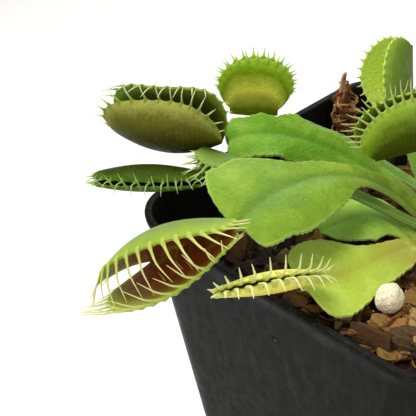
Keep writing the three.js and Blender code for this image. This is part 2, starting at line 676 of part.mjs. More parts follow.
function soilGeometry() {
  const solid = new Solid();
  const outer = wallRing(POT_HEIGHT, WALL + GAP, SOIL_SIDE_STEPS).map((edge) => {
    let ring = edge;
    for (let i = 0; i < 3; i += 1) {
      const height = soilHeight(ring.x, ring.y);
      const t = height / POT_HEIGHT;
      const side = BASE_SIDE + (RIM_SIDE - 2 * BEAD_OUT - BASE_SIDE) * t - 2 * (WALL + GAP);
      const top = RIM_SIDE - 2 * BEAD_OUT - 2 * (WALL + GAP);
      ring = new THREE.Vector3(edge.x * side / top, edge.y * side / top, height);
    }
    return ring;
  });
  const rings = [];
  for (let k = 1; k <= SOIL_RINGS; k += 1) {
    const share = k / SOIL_RINGS;
    rings.push(outer.map((edge) => {
      const x = edge.x * share;
      const y = edge.y * share;
      return solid.add(new THREE.Vector3(x, y, soilHeight(x, y)));
    }));
  }
  const bottom = wallRing(FLOOR + GAP, WALL + GAP, SOIL_SIDE_STEPS).map((p) => solid.add(p));
  solid.cap(solid.add(vector([0, 0, soilHeight(0, 0)])), rings[0]);
  for (let k = 0; k + 1 < rings.length; k += 1) {
    solid.tube(rings[k + 1], rings[k]);
  }
  solid.tube(bottom, rings[rings.length - 1]);
  solid.cap(solid.add(vector([0, 0, FLOOR + GAP])), [...bottom].reverse());
  return solid.geometry();
}

function crownGeometry() {
  const profile = CROWN_PROFILE.map(([radius, height]) => new THREE.Vector2(radius, height));
  const crown = new THREE.LatheGeometry(profile, CROWN_STEPS);
  crown.rotateX(Math.PI / 2);
  crown.translate(CROWN[0], CROWN[1], POT_HEIGHT);
  return welded(crown);
}

// Rounded lump set down on the soil
function lumpGeometry(at, size, turn) {
  const lump = new THREE.IcosahedronGeometry(1, LUMP_DETAIL);
  const position = lump.getAttribute("position");
  for (let i = 0; i < position.count; i += 1) {
    const p = new THREE.Vector3().fromBufferAttribute(position, i);
    const bump = 1 + LUMP_BUMP * Math.sin(5 * p.x + 2 * p.z) * Math.cos(4 * p.y - 3 * p.z);
    position.setXYZ(i, p.x * bump, p.y * bump, p.z * bump);
  }
  lump.setIndex([...Array(position.count).keys()]);
  lump.scale(...size);
  lump.rotateZ(turn);
  const heights = [];
  for (const i of [-1, 0, 1]) {
    for (const j of [-1, 0, 1]) {
      heights.push(soilHeight(at[0] + i * size[0] / 2, at[1] + j * size[1] / 2));
    }
  }
  lump.translate(at[0], at[1], Math.max(...heights) + size[2] * (1 + LUMP_BUMP) + GAP);
  return welded(lump);
}

// Dried moss: a lumpy column against the wall, with one curled strand at its top
function tuftGeometry() {
  const solid = new Solid();
  const [x, y] = TUFT.at;
  const { around } = TUFT;
  const foot = soilHeight(x + TUFT.radius, y) + GAP + LUMP_LIFT;
  const rings = [];
  for (let k = 0; k <= TUFT.levels; k += 1) {
    const t = k / TUFT.levels;
    const wide = TUFT.radius * (0.75 + 0.25 * Math.sin(7 * t + 0.6)) * Math.sqrt(1 - 0.86 * t ** 3);
    const ring = [];
    for (let i = 0; i < around; i += 1) {
      const angle = 2 * Math.PI * i / around;
      const r = wide * (1 + TUFT_BUMP * Math.sin(3 * angle + 4 * t));
      ring.push(solid.add(vector([
        x + r * Math.cos(angle) + TUFT.lean * t,
        y + r * Math.sin(angle),
        foot + TUFT.height * t,
      ])));
    }
    rings.push(ring);
  }
  for (let k = 1; k < STRAND.steps; k += 1) {
    const t = k / STRAND.steps;
    const bend = STRAND.turn * t;
    const centre = vector([
      x + TUFT.lean + STRAND.back * (1 - Math.cos(bend)),
      y + STRAND.side * Math.sin(bend) * t,
      foot + TUFT.height + STRAND.height * Math.sin(bend / 1.6),
    ]);
    const radius = STRAND.root + (STRAND.end - STRAND.root) * t;
    rings.push(rings[0].map((_, i) => {
      const angle = 2 * Math.PI * i / around;
      return solid.add(centre.clone().add(vector([radius * Math.cos(angle), radius * Math.sin(angle), 0])));
    }));
  }
  for (let k = 0; k + 1 < rings.length; k += 1) {
    solid.tube(rings[k], rings[k + 1]);
  }
  const centreOf = (ring) => {
    const sum = ring.reduce((total, i) => total.add(solid.points[i]), new THREE.Vector3());
    return solid.add(sum.divideScalar(ring.length));
  };
  solid.cap(centreOf(rings[0]), [...rings[0]].reverse());
  solid.cap(centreOf(rings[rings.length - 1]), rings[rings.length - 1]);
  return solid.geometry();
}

const group = new THREE.Group();

function place(name, geometry, colour, roughness) {
  const material = new THREE.MeshStandardMaterial({ color: colour, roughness, metalness: 0 });
  const mesh = new THREE.Mesh(geometry, material);
  mesh.name = name;
  group.add(mesh);
}

place("pot", potGeometry(), "#26282b", 0.5);
place("soil", soilGeometry(), "#4a3020", 0.95);
place("crown", crownGeometry(), "#a8b36a", 0.6);
for (const [name, grain] of Object.entries(GRAINS)) {
  place(name, lumpGeometry(grain.at, grain.size, 0), "#ece8dc", 0.9);
}
place("bark_chunk", lumpGeometry(BARK.at, BARK.size, BARK.turn), "#a8977c", 0.95);
place("moss_tuft", tuftGeometry(), "#8a6240", 0.95);
for (const [name, leaf] of Object.entries(LEAVES)) {
  place(`stalk_${name}`, stalk(leaf).geometry(), leaf.colour, 0.45);
}
for (const [name, form] of Object.entries(TRAPS)) {
  place(`trap_${name}`, trap(form).geometry(), form.colour, 0.45);
}

export default group;
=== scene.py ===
"""Looks of the potted Venus flytrap: fine leaves and toothed traps, bark soil, pot and lights."""

import math

import bmesh
import bpy
import numpy as np
from mathutils import Matrix, Vector, noise


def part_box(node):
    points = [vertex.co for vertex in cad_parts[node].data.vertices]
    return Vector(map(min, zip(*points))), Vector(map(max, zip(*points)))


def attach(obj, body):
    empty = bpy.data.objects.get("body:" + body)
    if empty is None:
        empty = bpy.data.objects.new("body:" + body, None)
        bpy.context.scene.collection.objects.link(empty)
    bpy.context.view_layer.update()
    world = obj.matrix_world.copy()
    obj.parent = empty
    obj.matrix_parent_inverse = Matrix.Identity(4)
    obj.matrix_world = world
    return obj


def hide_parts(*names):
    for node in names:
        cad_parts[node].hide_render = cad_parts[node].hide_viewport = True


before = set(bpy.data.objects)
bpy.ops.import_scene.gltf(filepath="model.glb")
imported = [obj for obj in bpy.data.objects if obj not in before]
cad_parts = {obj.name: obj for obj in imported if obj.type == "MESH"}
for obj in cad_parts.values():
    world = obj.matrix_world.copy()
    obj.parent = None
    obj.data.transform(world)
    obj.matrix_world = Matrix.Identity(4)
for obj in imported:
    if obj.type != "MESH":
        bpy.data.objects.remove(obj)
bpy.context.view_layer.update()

MM = 0.001
TURN = 2 * math.pi
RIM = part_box("pot")[1].z / MM
SEED = 20

# Camera, in millimetres
CAMERA_PLACE = (129.066, -177.800, 229.042)
CAMERA_RIGHT = (0.70594697, 0.70813927, -0.01332883)
CAMERA_UP = (-0.40027603, 0.41442095, 0.8173337)
CAMERA_BACK = (0.58430983, -0.57165903, 0.57601039)
CAMERA_LENS = 118.53
CAMERA_SENSOR = 36.0

# Lights: name, place and target in millimetres, size in millimetres, power in watts, colour
LIGHTS = [
    ("key", (-120, -60, 330), (-5, -10, 80), 170, 0.7, (1.0, 0.98, 0.95)),
    ("front", (60, -330, 190), (0, -10, 70), 300, 0.32, (1.0, 1.0, 1.0)),
    ("right", (330, 40, 190), (0, 0, 60), 280, 0.3, (0.97, 0.99, 1.0)),
    ("back", (-160, 260, 260), (-10, 0, 80), 220, 0.42, (1.0, 1.0, 1.0)),
]
WORLD_COLOUR = (1.0, 0.99, 0.94)
WORLD_STRENGTH = 0.43

# Ground below the pot, in millimetres
GROUND_SIZE = 6000.0
GROUND_DROP = 0.05

# Pot, in millimetres
RIM_SIDE = 76.0
RIM_RADIUS = 10.8
BASE_SIDE = 52.0
BASE_RADIUS = 7.4
WALL = 1.1
FLOOR = 1.2
BEAD_HEIGHT = 1.3
BEAD_OUT = 0.5
BASE_CHAMFER = 0.8
DRAIN_RADIUS = 4.5
DRAIN_OFFSET = 15.5
DRAIN_STEPS = 48
POT_CORNER_STEPS = 14
POT_SIDE_STEPS = 8

# Middle of the smudge of debris on the pot's front, in millimetres
SMUDGE = (0.9, -35.8, 64.7)

# Soil: heights are measured from the pot's rim, in millimetres
GAP = 0.3
CROWN = (8.5, 1.5)
CROWN_PROFILE = [(0.05, -4.9), (3.5, -4.9), (3.9, -3.6), (2.3, -1.9), (1.9, 0.0), (0.8, 1.3), (0.05, 1.4)]
SOIL_LEVEL = -2.0
SOIL_HOLLOW = 4.2
HOLLOW_WIDTH = 10.0
SOIL_DROP = 14.0
DROP_START = 4.0
DROP_LENGTH = 34.0
SOIL_RINGS = 64
SOIL_SIDE_STEPS = 34
SOIL_LUMP = 0.45
LUMP_SIZES = (2.6, 0.9)

# Bits strewn over the soil. sizes: range of their half length, in millimetres.
# levels: how fine the ball is that a small and a large bit are made from.
# boxy: small for bits with flat sides. sink: how deep they sit. thin: range of their thickness.
# sharp: angle in degrees from which an edge looks sharp.
STREWN = {
    "bark_chips": {"count": 820, "sizes": (1.0, 4.6), "levels": (2, 3),
                   "boxy": 0.3, "sink": 0.9, "thin": (0.09, 0.24), "sharp": 38},
    "bark_crumbs": {"count": 1300, "sizes": (0.3, 0.9), "levels": (1, 1),
                    "boxy": 0.4, "sink": 0.4, "thin": (0.3, 0.6), "sharp": 38},
    "perlite_crumbs": {"count": 46, "sizes": (0.25, 0.75), "levels": (2, 2),
                       "boxy": 0.9, "sink": 0.2, "thin": (0.6, 0.9), "sharp": 50},
}
STREWN_REACH = 35.5
STREWN_ROOM = 0.25
STREWN_DROPS = (0.0, 0.6, 1.3)
STREWN_ROUGH = 0.18
STREWN_TAPER = 0.45
STREWN_WIDTHS = (0.3, 0.7)
STREWN_TILTS = (0.5, 0.3)
CEILING_CELL = 0.8

# Coir fibres on the soil, in millimetres
FIBRES = {"count": 900, "steps": 8, "reach": 33, "length": (2, 8), "bend": 0.9, "lift": (0.3, 1.6),
          "hump": 0.7, "radius": (0.07, 0.24), "room": 0.4}

# Perlite grains and bark chunk: place and half size in millimetres, turn in radians
GRAINS = {
    "perlite_large": ((17.5, -24.5), (2.5, 2.6, 2.8)),
    "perlite_right": ((29.0, 12.0), (2.1, 1.8, 1.7)),
    "perlite_back": ((14.0, 31.0), (1.7, 1.9, 1.6)),
}
CHUNK = ((26.5, -29.5), (4.2, 2.6, 1.9), 0.5)
LUMP_BUMP = 0.06
LUMP_LEVEL = 5

# Moss tuft and the long curled strand on its top, in millimetres
TUFT = {"at": (-30.9, 22.5), "radius": 3.1, "height": 18.5, "lean": -2.6}
TUFT_BUMP = 0.16
TUFT_ROUGH = 0.4
TUFT_STRANDS = 190
STRAND = {"height": 5.0, "turn": 2.4, "back": 0.7, "side": -0.8, "root": 0.8, "end": 0.3}

# Stalks, in millimetres, but the least curl in degrees
RIB_STEPS = 240
STALK_GRID = (150, 16)
MARGIN_THICKNESS = 0.5
BLADE_THICKNESS = 0.75
RIB_THICKNESS = 1.5
RIB_WIDTH = 0.9
RIB_GROOVE = 0.2
SERRATION = 0.28
SERRATION_STEP = 1.5
SIDE_VEIN = 0.016
SIDE_VEIN_STEP = 2.9
LEAST_CURL = 0.01

# Lobes of a trap, in millimetres, but their taper as a share and the end of their rim in radians
LOBE_GRID = (168, 20)
LOBE_THICKNESS = 0.7
LOBE_TAPER = 0.35
LOBE_VEIN = 0.012
ARCH = 0.24
LOBE_END = 0.2

# Teeth: widths and depth of their root in millimetres
TOOTH_STEPS = 10
TOOTH_ROOT = 0.62
TOOTH_MIDDLE = 0.34
TOOTH_TIP = 0.07
TOOTH_DEPTH = 0.9

# Teeth: where they bend, how flat they are, how short and upright they are at a rim's ends, as shares
TOOTH_KNEE = 0.45
TOOTH_FLAT = 0.7
TOOTH_ENDS = 0.16
END_LEAN = 0.4
TOOTH_RISE = 0.15
TOOTH_START = -0.25

# Trigger hairs in each lobe: places as shares from stalk to tip and from hinge to rim
TRIGGERS = [(0.42, 0.5), (0.5, 0.38), (0.58, 0.5)]

# Heights in the tables below are measured from the pot's rim.
# rib: four control points of the stalk's midrib. up: direction of its upper side at base and end.
# right, left: outline of each wing as [along the rib, out from it], looking from base to end.
# A left wing that is not given is like the right one.
# fold: angle at which the left and the right wing rise from the rib. curl: how far they bend over.
# wave: height and number of the waves along the margins.
LEAVES = {
    "front": {
        "rib": [[5.6, 0.6, -0.3], [-8.5, 0.1, 9.8], [-9.1, -24, 15], [-6.4, -38.5, 12.6]],
        "up": [[0, -0.1, 1], [0.05, -0.1, 1]],
        "right": [[0, 1], [9, 1.9], [16, 2.4], [25, 3.8], [29, 4.6], [33, 7.6], [36.8, 10.6],
            [40.2, 11.1], [43.2, 11.2], [46, 8.2], [47.8, 4.6], [48.7, 2]],
        "left": [[0, 1], [7, 1.2], [12.6, 1.6], [17.3, 2.9], [21.7, 6], [26, 7.9], [31, 9.1], [36, 9.4],
            [41.7, 8.5], [46, 8], [48.8, 7], [49.5, 5.6], [49.3, 4], [48.8, 2.2]],
        "fold": [-5, 20], "curl": [-30, -12], "wave": [0.5, 2.5],
    },
    "left": {
        "rib": [[6, 2.9, -0.3], [-10.3, 7.1, 0.7], [-21.5, -6.6, 14.7], [-23.9, -22.4, 15.4]],
        "up": [[0.1, -0.2, 1], [0.1, -0.2, 1]],
        "right": [[0, 0.9], [10, 1.4], [20, 2.4], [28, 3.8], [31.7, 5.4], [33.8, 5], [36.5, 3.6],
            [39, 4.4], [42, 3.9], [44.5, 4.3], [46.8, 2.6], [47.8, 0.9]],
        "left": [[0, 0.9], [12, 1.5], [22, 3], [30, 4.8], [36, 5.6], [42, 5.4], [46, 4.8], [48.8, 4],
            [49.6, 3], [49.2, 1.8], [48, 0.9]],
        "fold": [-12, 20], "curl": [-10, -10], "wave": [0.6, 3],
    },
    "low": {
        "rib": [[4, 0.8, -3], [-6, -1.8, -4.7], [-18, -14, 4], [-24.2, -26.4, 8.7]],
        "up": [[0, 0, 1], [0, -0.1, 1]],
        "right": [[0, 1], [10, 1.3], [20, 2.2], [29, 3.4], [36, 3.2], [42.1, 0.9]],
        "fold": [8, 8], "curl": [-10, -10], "wave": [0.3, 2],
    },
    "small": {
        "rib": [[6.6, -1, -0.3], [1, -5, 2.4], [-11, -9, 7.6], [-17.05, -22.85, 13.75]],
        "up": [[0, 0, 1], [0, -0.2, 1]],
        "right": [[0, 0.8], [10, 1], [20, 1.3], [28, 1.5], [36.8, 0.8]],
        "fold": [5, 5], "curl": [0, 0], "wave": [0, 1],
    },
    "upright": {
        "rib": [[7.6, 4.8, -0.6], [2, 11.5, -1.2], [-14, 6.5, 2.5], [-28.95, -2.48, 9.71]],
        "up": [[0, 0.2, 1], [0, 0, 1]],
        "right": [[0, 0.9], [10, 1.4], [20, 2.2], [30, 3], [36, 2.4], [39.6, 0.9]],
        "left": [[0, 0.9], [10, 1.2], [20, 1.8], [30, 2.2], [36, 2], [39.6, 0.9]],
        "fold": [8, 8], "curl": [-8, -8], "wave": [0.3, 2],
    },
    "inner": {
        "rib": [[9.9, 4.1, -0.2], [9, 8, 3], [6, 11, 7], [2.31, 9.31, 10.62]],
        "up": [[0, -1, 0.4], [0.6, 0.2, 0.8]],
        "right": [[0, 0.9], [4, 1.6], [8, 2.4], [11, 2.2], [14.2, 0.9]],
        "fold": [10, 10], "curl": [0, 0], "wave": [0, 1],
    },
    "back": {
        "rib": [[5.3, 4.9, -3.1], [0, 11, -2.6], [-7.6, 17.4, 1.6], [-13.11, 20.57, 8.22]],
        "up": [[0, 0, 1], [0.2, 0, 1]],
        "right": [[0, 1], [8, 1.8], [14, 3.2], [19, 3.6], [23, 2.4], [26, 1]],
        "fold": [8, 8], "curl": [-8, -8], "wave": [0.3, 2],
    },
    "lower": {
        "rib": [[9, -3.4, -3], [10.4, -10.3, 4], [7.4, -23.4, -1], [5.3, -33.15, 3.07]],
        "up": [[0, 0, 1], [0, 0, 1]],
        "right": [[0, 1.2], [6.2, 2.3], [10, 2.8], [14, 3.9], [16.8, 6], [19.7, 9], [22, 10], [25, 10.2],
            [27.4, 9.6], [29.8, 7.4], [31, 4.6], [31.5, 1.4]],
        "left": [[0, 1.2], [5, 3], [10, 4.6], [16, 5.8], [20, 6.9], [23.3, 8.2], [25.8, 9], [28.4, 9.3],
            [30.4, 8.4], [31.2, 6.8], [31.6, 4.8], [31.5, 2.6]],
        "fold": [-10, 10], "curl": [2, -10], "wave": [0.3, 2],
    },
    "tucked": {
        "rib": [[6.9, -3.4, -3], [-1, -2.9, 1.3], [-3.7, -10.2, 1.4], [-6.7, -15.2, -1]],
        "up": [[0, 0, 1], [0, 0, 1]],
        "right": [[0, 1.1], [5, 3.6], [8.5, 6.4], [12, 6.2], [16, 4.2], [18.6, 2.2], [20.3, 0.7]],
        "left": [[0, 1.1], [5, 4], [9.6, 7.4], [14, 7.6], [17.5, 5.6], [19.3, 2.8], [20.3, 0.7]],
        "fold": [8, 8], "curl": [-10, -10], "wave": [0.3, 2],
    },
    "right_a": {
        "rib": [[12.15, 0.25, -2.8], [17, -1.5, 6], [24.5, -4, 1.6], [28.4, -5.2, 6.1]],
        "up": [[-0.2, 0, 1], [0, 0, 1]],
        "right": [[0, 1.1], [4, 2.4], [8, 5.2], [11, 7], [13.6, 6.4], [15.6, 4.4], [17, 2.2],
            [18.4, 0.9]],
        "fold": [2, 2], "curl": [-24, -24], "wave": [0.4, 2],
    },
    "right_b": {
        "rib": [[12.4, 4.1, -2.8], [16, 7, 6], [22, 12, 5.5], [25.2, 15.2, 10.6]],
        "up": [[-0.3, -0.2, 1], [0, 0, 1]],
        "right": [[0, 1.1], [5, 2.2], [9, 4.4], [13, 5.8], [16.5, 4.8], [19.4, 2.4], [22, 0.9]],
        "left": [[0, 1.1], [5, 1.6], [9, 2.8], [13, 5.8], [16.5, 4.8], [19.4, 2.4], [22, 0.9]],
        "fold": [2, 2], "curl": [-24, -24], "wave": [0.4, 2],
    },
    "right_c": {
        "rib": [[9.6, 6.1, -2.8], [10, 10, 7], [11.2, 19, 3.5], [12, 23.4, 8.5]],
        "up": [[0, -0.3, 1], [0, 0, 1]],
        "right": [[0, 1.1], [5, 1.6], [9, 3.2], [12.5, 5.2], [15.6, 5], [18.6, 2.4], [21, 0.9]],
        "left": [[0, 1.1], [5, 2.2], [9, 4.8], [12.5, 6.2], [15.6, 5.2], [18.6, 2.4], [21, 0.9]],
        "fold": [2, 2], "curl": [-24, -24], "wave": [0.4, 2],
    },
}

# base, tip: ends of the trap's hinge. mouth: direction in which it opens.
# half: half the length of a lobe. height: from hinge to rim, measured over the lobe.
# open: for the left and the right lobe, its angle from the middle plane at hinge and rim.
# bow: how far the hinge bulges. cup: how much the lobes close in towards their ends.
# lead: slant of the lobes towards the tip. lean: angle of the teeth at their root and tip.
# shut: how far the low ends of a lobe still curl like its middle, so that the rims meet.
# sweep: how far the teeth of each lobe slant towards the tip.
TRAPS = {
    "front": {
        "base": [-6.7, -39.9, 12.3], "tip": [-22.2, -45.4, -0.6], "mouth": [0.21, -0.99, 0.06],
        "half": 16.4, "height": 17.5, "open": [[68, -28], [28, -3]], "bow": 2.1, "cup": 0.73, "lead": -1.1,
        "teeth": 23, "length": 8.4, "lean": [[-50, -80], [-30, -56]], "sweep": [-0.4, 0.5],
    },
    "left": {
        "base": [-24.4, -23.7, 15.5], "tip": [-45.4, -29.5, 10.6], "mouth": [-0.15, -0.24, 0.96],
        "half": 13.4, "height": 15.3, "open": [[52, -37], [70, -76]], "bow": 3.8, "cup": 0.48, "lead": 0.1,
        "teeth": 16, "length": 4.6, "lean": [[-70, -95], [-10, -40]], "sweep": [0, 0.2],
    },
    "low": {
        "base": [-25, -27.4, 8.9], "tip": [-43.1, -37.2, 5.5], "mouth": [0.3, -0.9, 0.25],
        "half": 12, "height": 9, "open": [[67, -66], [40, -40]], "bow": 1, "cup": 0.6, "shut": 0.7,
        "teeth": 14, "length": 4, "lean": [[5, -70], [-60, -60]], "sweep": [0, 0.2],
    },
    "small": {
        "base": [-18.1, -24.5, 14.55], "tip": [-26.35, -26.9, 14.75], "mouth": [0.22, -0.93, -0.28],
        "half": 4.9, "height": 4.5, "open": [[34, -16], [34, -16]], "cup": 0.5,
        "teeth": 10, "length": 4.4, "lean": [[-14, -8], [-20, -10]], "sweep": [0.3, 0.3],
    },
    "upright": {
        "base": [-29.1, -2.6, 9.8], "tip": [-36.9, -9.3, 10], "mouth": [-0.19, 0.26, 0.94],
        "half": 8.1, "height": 11.7, "open": [[34, 13], [22, 4]], "bow": 0.6, "cup": 0.32, "lead": -0.4,
        "teeth": 16, "length": 1.9, "lean": [[10, 0], [6, 0]],
    },
    "inner": {
        "base": [2.2, 9.2, 10.7], "tip": [-4.2, -3.2, 9.9], "mouth": [0, -0.08, 1],
        "half": 11.1, "height": 13.4, "open": [[36, -30], [35, -29]],
        "teeth": 26, "length": 5, "lean": [[-34, -20], [-20, 10]],
    },
    "back": {
        "base": [-13.2, 20.6, 8.3], "tip": [-17.3, 24.3, 19.8], "mouth": [-0.26, -0.9, 0.3],
        "half": 8.5, "height": 10.8, "open": [[30, 8], [32, 10]],
        "teeth": 18, "length": 1.1, "lean": [[8, 0], [8, 0]],
    },
    "lower": {
        "base": [5.3, -33.5, 3.6], "tip": [0.6, -50.4, 7.6], "mouth": [0.98, 0.66, 0.56],
        "half": 11.3, "height": 6.4, "open": [[56, -47], [48, -51]], "bow": -0.4, "cup": 0.9, "shut": 0.6,
        "teeth": 15, "length": 4.8, "lean": [[12, 70], [0, 70]],
    },
    "right_a": {
        "base": [28.9, -5.35, 6.7], "tip": [42, -9.4, 8.4], "mouth": [0, 0.1, 1],
        "half": 11, "height": 11.5, "open": [[52, 16], [52, 16]], "bow": 0.4,
        "teeth": 13, "length": 7, "lean": [[0, -30], [0, -30]],
    },
    "right_b": {
        "base": [25.57, 15.57, 11.2], "tip": [34.1, 24.1, 12.1], "mouth": [-0.2, -0.1, 1],
        "half": 9.4, "height": 10, "open": [[58, -44], [58, -44]], "bow": 0.6, "cup": 0.45,
        "teeth": 11, "length": 5, "lean": [[-36, -16], [-36, -16]],
    },
    "right_c": {
        "base": [12.15, 23.8, 9], "tip": [14.5, 36.2, 10.8], "mouth": [0.1, -0.1, 1],
        "half": 10.4, "height": 11, "open": [[50, 10], [50, 10]], "bow": 0.4,
        "teeth": 12, "length": 6.4, "lean": [[-4, -34], [-4, -34]],
    },
}

# What a trap has where the table above says nothing else
USUAL_TRAP = {"bow": 0, "cup": 0.4, "lead": 0, "shut": 0, "sweep": [0, 0]}

# Stoutness of a trap's teeth along their length and at their root
TOOTH_BUILD = {
    "front": (0.74, 0.85), "left": (0.5, 0.7), "low": (0.5, 0.7), "small": (0.6, 0.6),
    "upright": (0.6, 0.8), "inner": (0.5, 0.6), "back": (0.45, 0.5), "lower": (0.95, 1.1),
    "right_a": (0.8, 1.0), "right_b": (0.8, 1.0), "right_c": (0.8, 1.0),
}

# Colours of a stalk: near its base, near its end, along the midrib, and of its cloudy patches
STALK_LOOKS = {
    "front": "#748f22 #7a9e24 #4f7c2c #8aaa34",
    "left": "#7e9038 #6a9c1e #589024 #88b036",
    "low": "#5f7f30 #4a7420 #3f6420 #628c34",
    "small": "#6a8c34 #688f30 #55782c #7d9c46",
    "upright": "#6c8c34 #5f8e26 #4c7824 #7a9e38",
    "inner": "#8a9c3a #7c9c2e #6c8c2c #94ac40",
    "back": "#749434 #6c952e #567e2a #84a640",
    "lower": "#a49e3c #aec842 #a0a03c #bad256",
    "tucked": "#b4c458 #94c244 #649a2c #a8cc50",
    "right_a": "#8f9a3c #7ba030 #688a30 #8fae40",
    "right_b": "#80903a #68942c #56782a #7ca038",
    "right_c": "#80943a #6f962e #5c7e2c #84a43c",
}

# Colours of a trap: outside from hinge to rim, inside from hinge to rim, teeth at root and tip
TRAP_LOOKS = {
    "front": [
        "#6f8460 #7a9058 #7a9440 #90aa38",
        "#74341a #904218 #a08a30 #a6b440",
        "#a9bc50 #d5cf88",
    ],
    # Left trap: its outside turns pale towards the rim, a painted highlight along the glossy ridge just
    # under the rim.
    "left": [
        "#292a05 #3a3b04 #60611a #929344",
        "#3a3a10 #4a4c14 #5c6a1c #7a9630",
        "#6f8a2c #cdd0a0",
    ],
    "low": [
        "#1e2701 #283301 #324202 #466412",
        "#141806 #1c2208 #2c3a0c #5a7a22",
        "#6f9038 #a9bc7c",
    ],
    "small": [
        "#5f7c2c #6b8830 #789238 #88a644",
        "#3a2412 #44301a #566424 #7c9a3c",
        "#84a044 #b4c47c",
    ],
    # Upright trap: the cream band across the middle of its outside is a painted highlight on the lobe's
    # bulge, and the olive by the hinge is painted shade where the bulge curves under.
    "upright": [
        "#7e9210 #eaec5c #7a9c0c #98c02c",
        "#6a4a20 #6d5424 #7a8a30 #94b03c",
        "#90b838 #bcd46c",
    ],
    "inner": [
        "#363e04 #4a560a #86a424 #a4c63e",
        "#3a2a10 #4a3814 #5f6a1c #8aaa34",
        "#a3b454 #cdd098",
    ],
    "back": [
        "#607e14 #6a881a #7e9e26 #9cbc40",
        "#b8d04c #c8de54 #d0e45c #d0e86c",
        "#a6c454 #c4d68c",
    ],
    "lower": [
        "#b09c40 #e0c854 #f0e464 #f0f078",
        "#6a1408 #7c1c0c #8a3c1a #a8a444",
        "#c4cc60 #dfe2a0",
    ],
    "right_a": [
        "#647428 #7c9034 #88a034 #96b43c",
        "#6c2418 #7c2818 #7c5c26 #94b03c",
        "#a4b850 #cdc87c",
    ],
    "right_b": [
        "#48500f #626c18 #748824 #7c9e30",
        "#4c2214 #5a2a18 #665424 #84a038",
        "#94a848 #c4c47c",
    ],
    "right_c": [
        "#60721c #788e2a #86a034 #92b03c",
        "#742e20 #7c3022 #7c642a #90ae3c",
        "#a0b450 #c8c87c",
    ],
}
OUTSIDE_PLACES = (0.02, 0.45, 0.76, 0.93)
INSIDE_PLACES = (0.05, 0.5, 0.8, 0.93)

# Gloss of leaves and traps, and the traps that have less of it
LEAF_GLOSS = 0.16
MATT_GLOSS = 0.05
MATT_TRAPS = ["left", "low", "upright"]

# How light goes through living parts: its depth in millimetres and its colour
LEAF_FLESH = 0.3
FLESH_DEPTH = 0.9
FLESH_COLOUR = (0.8, 1.0, 0.2)

# Colours of soil, bark, coir and moss: pairs of a place from 0 to 1 and a colour
SOIL_STOPS = [(0.3, "#0a0604"), (0.5, "#20120a"), (0.7, "#3e2614")]
CHIP_STOPS = [(0.0, "#150c06"), (0.2, "#34200e"), (0.36, "#8e5a20"), (0.52, "#b67e3a"), (0.62, "#482c0c"),
              (0.78, "#a8843c"), (0.92, "#c4a262"), (1.0, "#6a4418")]
FIBRE_STOPS = [(0.0, "#2c1a0c"), (0.35, "#6a4420"), (0.7, "#94683a"), (1.0, "#bc9c68")]
CHUNK_STOPS = [(0.0, "#4e3a1c"), (1.0, "#5c4a26")]
MOSS_STOPS = [(0.0, "#4a2a10"), (0.3, "#8c5a2e"), (0.6, "#b07e4a"), (0.85, "#c89c6c"), (1.0, "#dcb488")]


def unit(rows):
    rows = np.asarray(rows, float)
    return rows / np.linalg.norm(rows, axis=-1, keepdims=True)


def above_rim(point):
    return np.array(point, float) + [0, 0, RIM]


def between(start, end, share):
    return start + (end - start) * share


def by_side(pair, side):
    """The left or the right one of a pair: side is 1 for left, -1 for right."""
    return pair[0] if side > 0 else pair[1]


def smooth_step(x):
    x = np.clip(x, 0, 1)
    return x * x * (3 - 2 * x)


def angles_around(count):
    return np.linspace(0, TURN, count, endpoint=False)


def lengths(points):
    """How far along a line of points each of them is."""
    step = np.linalg.norm(np.diff(points, axis=0), axis=1)
    return np.concatenate([[0], np.cumsum(step)])


def smooth_curve(points, t):
    """Points on a smooth curve through the given ones, t from 0 to 1."""
    points = np.asarray(points, float)
    last = len(points) - 1
    x = np.clip(t, 0, 1) * last
    i = np.minimum(x.astype(int), last - 1)
    f = (x - i)[:, None]
    first, final = 2 * points[0] - points[1], 2 * points[-1] - points[-2]
    padded = np.vstack([first, points, final])
    a, b, c, d = (padded[i + k] for k in range(4))
    return 0.5 * (2 * b + (c - a) * f + (2 * a - 5 * b + 4 * c - d) * f**2 + (3 * b - a - 3 * c + d) * f**3)


def outline_curve(outline, t):
    """Points on the smooth curve through an outline, t measured by the curve's own length."""
    guide = np.linspace(0, 1, 401)
    length = lengths(smooth_curve(outline, guide))
    return smooth_curve(outline, np.interp(t * length[-1], length, guide))


def bumps(points, size, seed, octaves=3):
    """Smooth noise between about -1 and 1 at each point, with features of the given size."""
    points = np.asarray(points, float)
    shift = Vector((seed * 7.3, seed * 3.1, -seed * 5.7))
    values = [noise.fractal(Vector(row) + shift, 1.0, 2.0, octaves) for row in points.reshape(-1, 3) / size]
    return np.reshape(values, points.shape[:-1])


def closed(grid):
    """A grid whose first column is repeated after its last one."""
    return np.concatenate([grid, grid[:, :1]], 1)


def joined(left, right):
    """One grid made of the grids of a left and a right half, which share their first column."""
    return np.concatenate([left[:, ::-1], right[:, 1:]], 1)


def circled(centre, radius, angle, rise):
    """Points around a centre, at a radius, an angle and a rise above it."""
    return centre + np.stack([radius * np.cos(angle), radius * np.sin(angle), rise + 0 * radius], -1)


def put(name, data):
    """New object of the scene."""
    item = bpy.data.objects.new(name, data)
    bpy.context.scene.collection.objects.link(item)
    return item


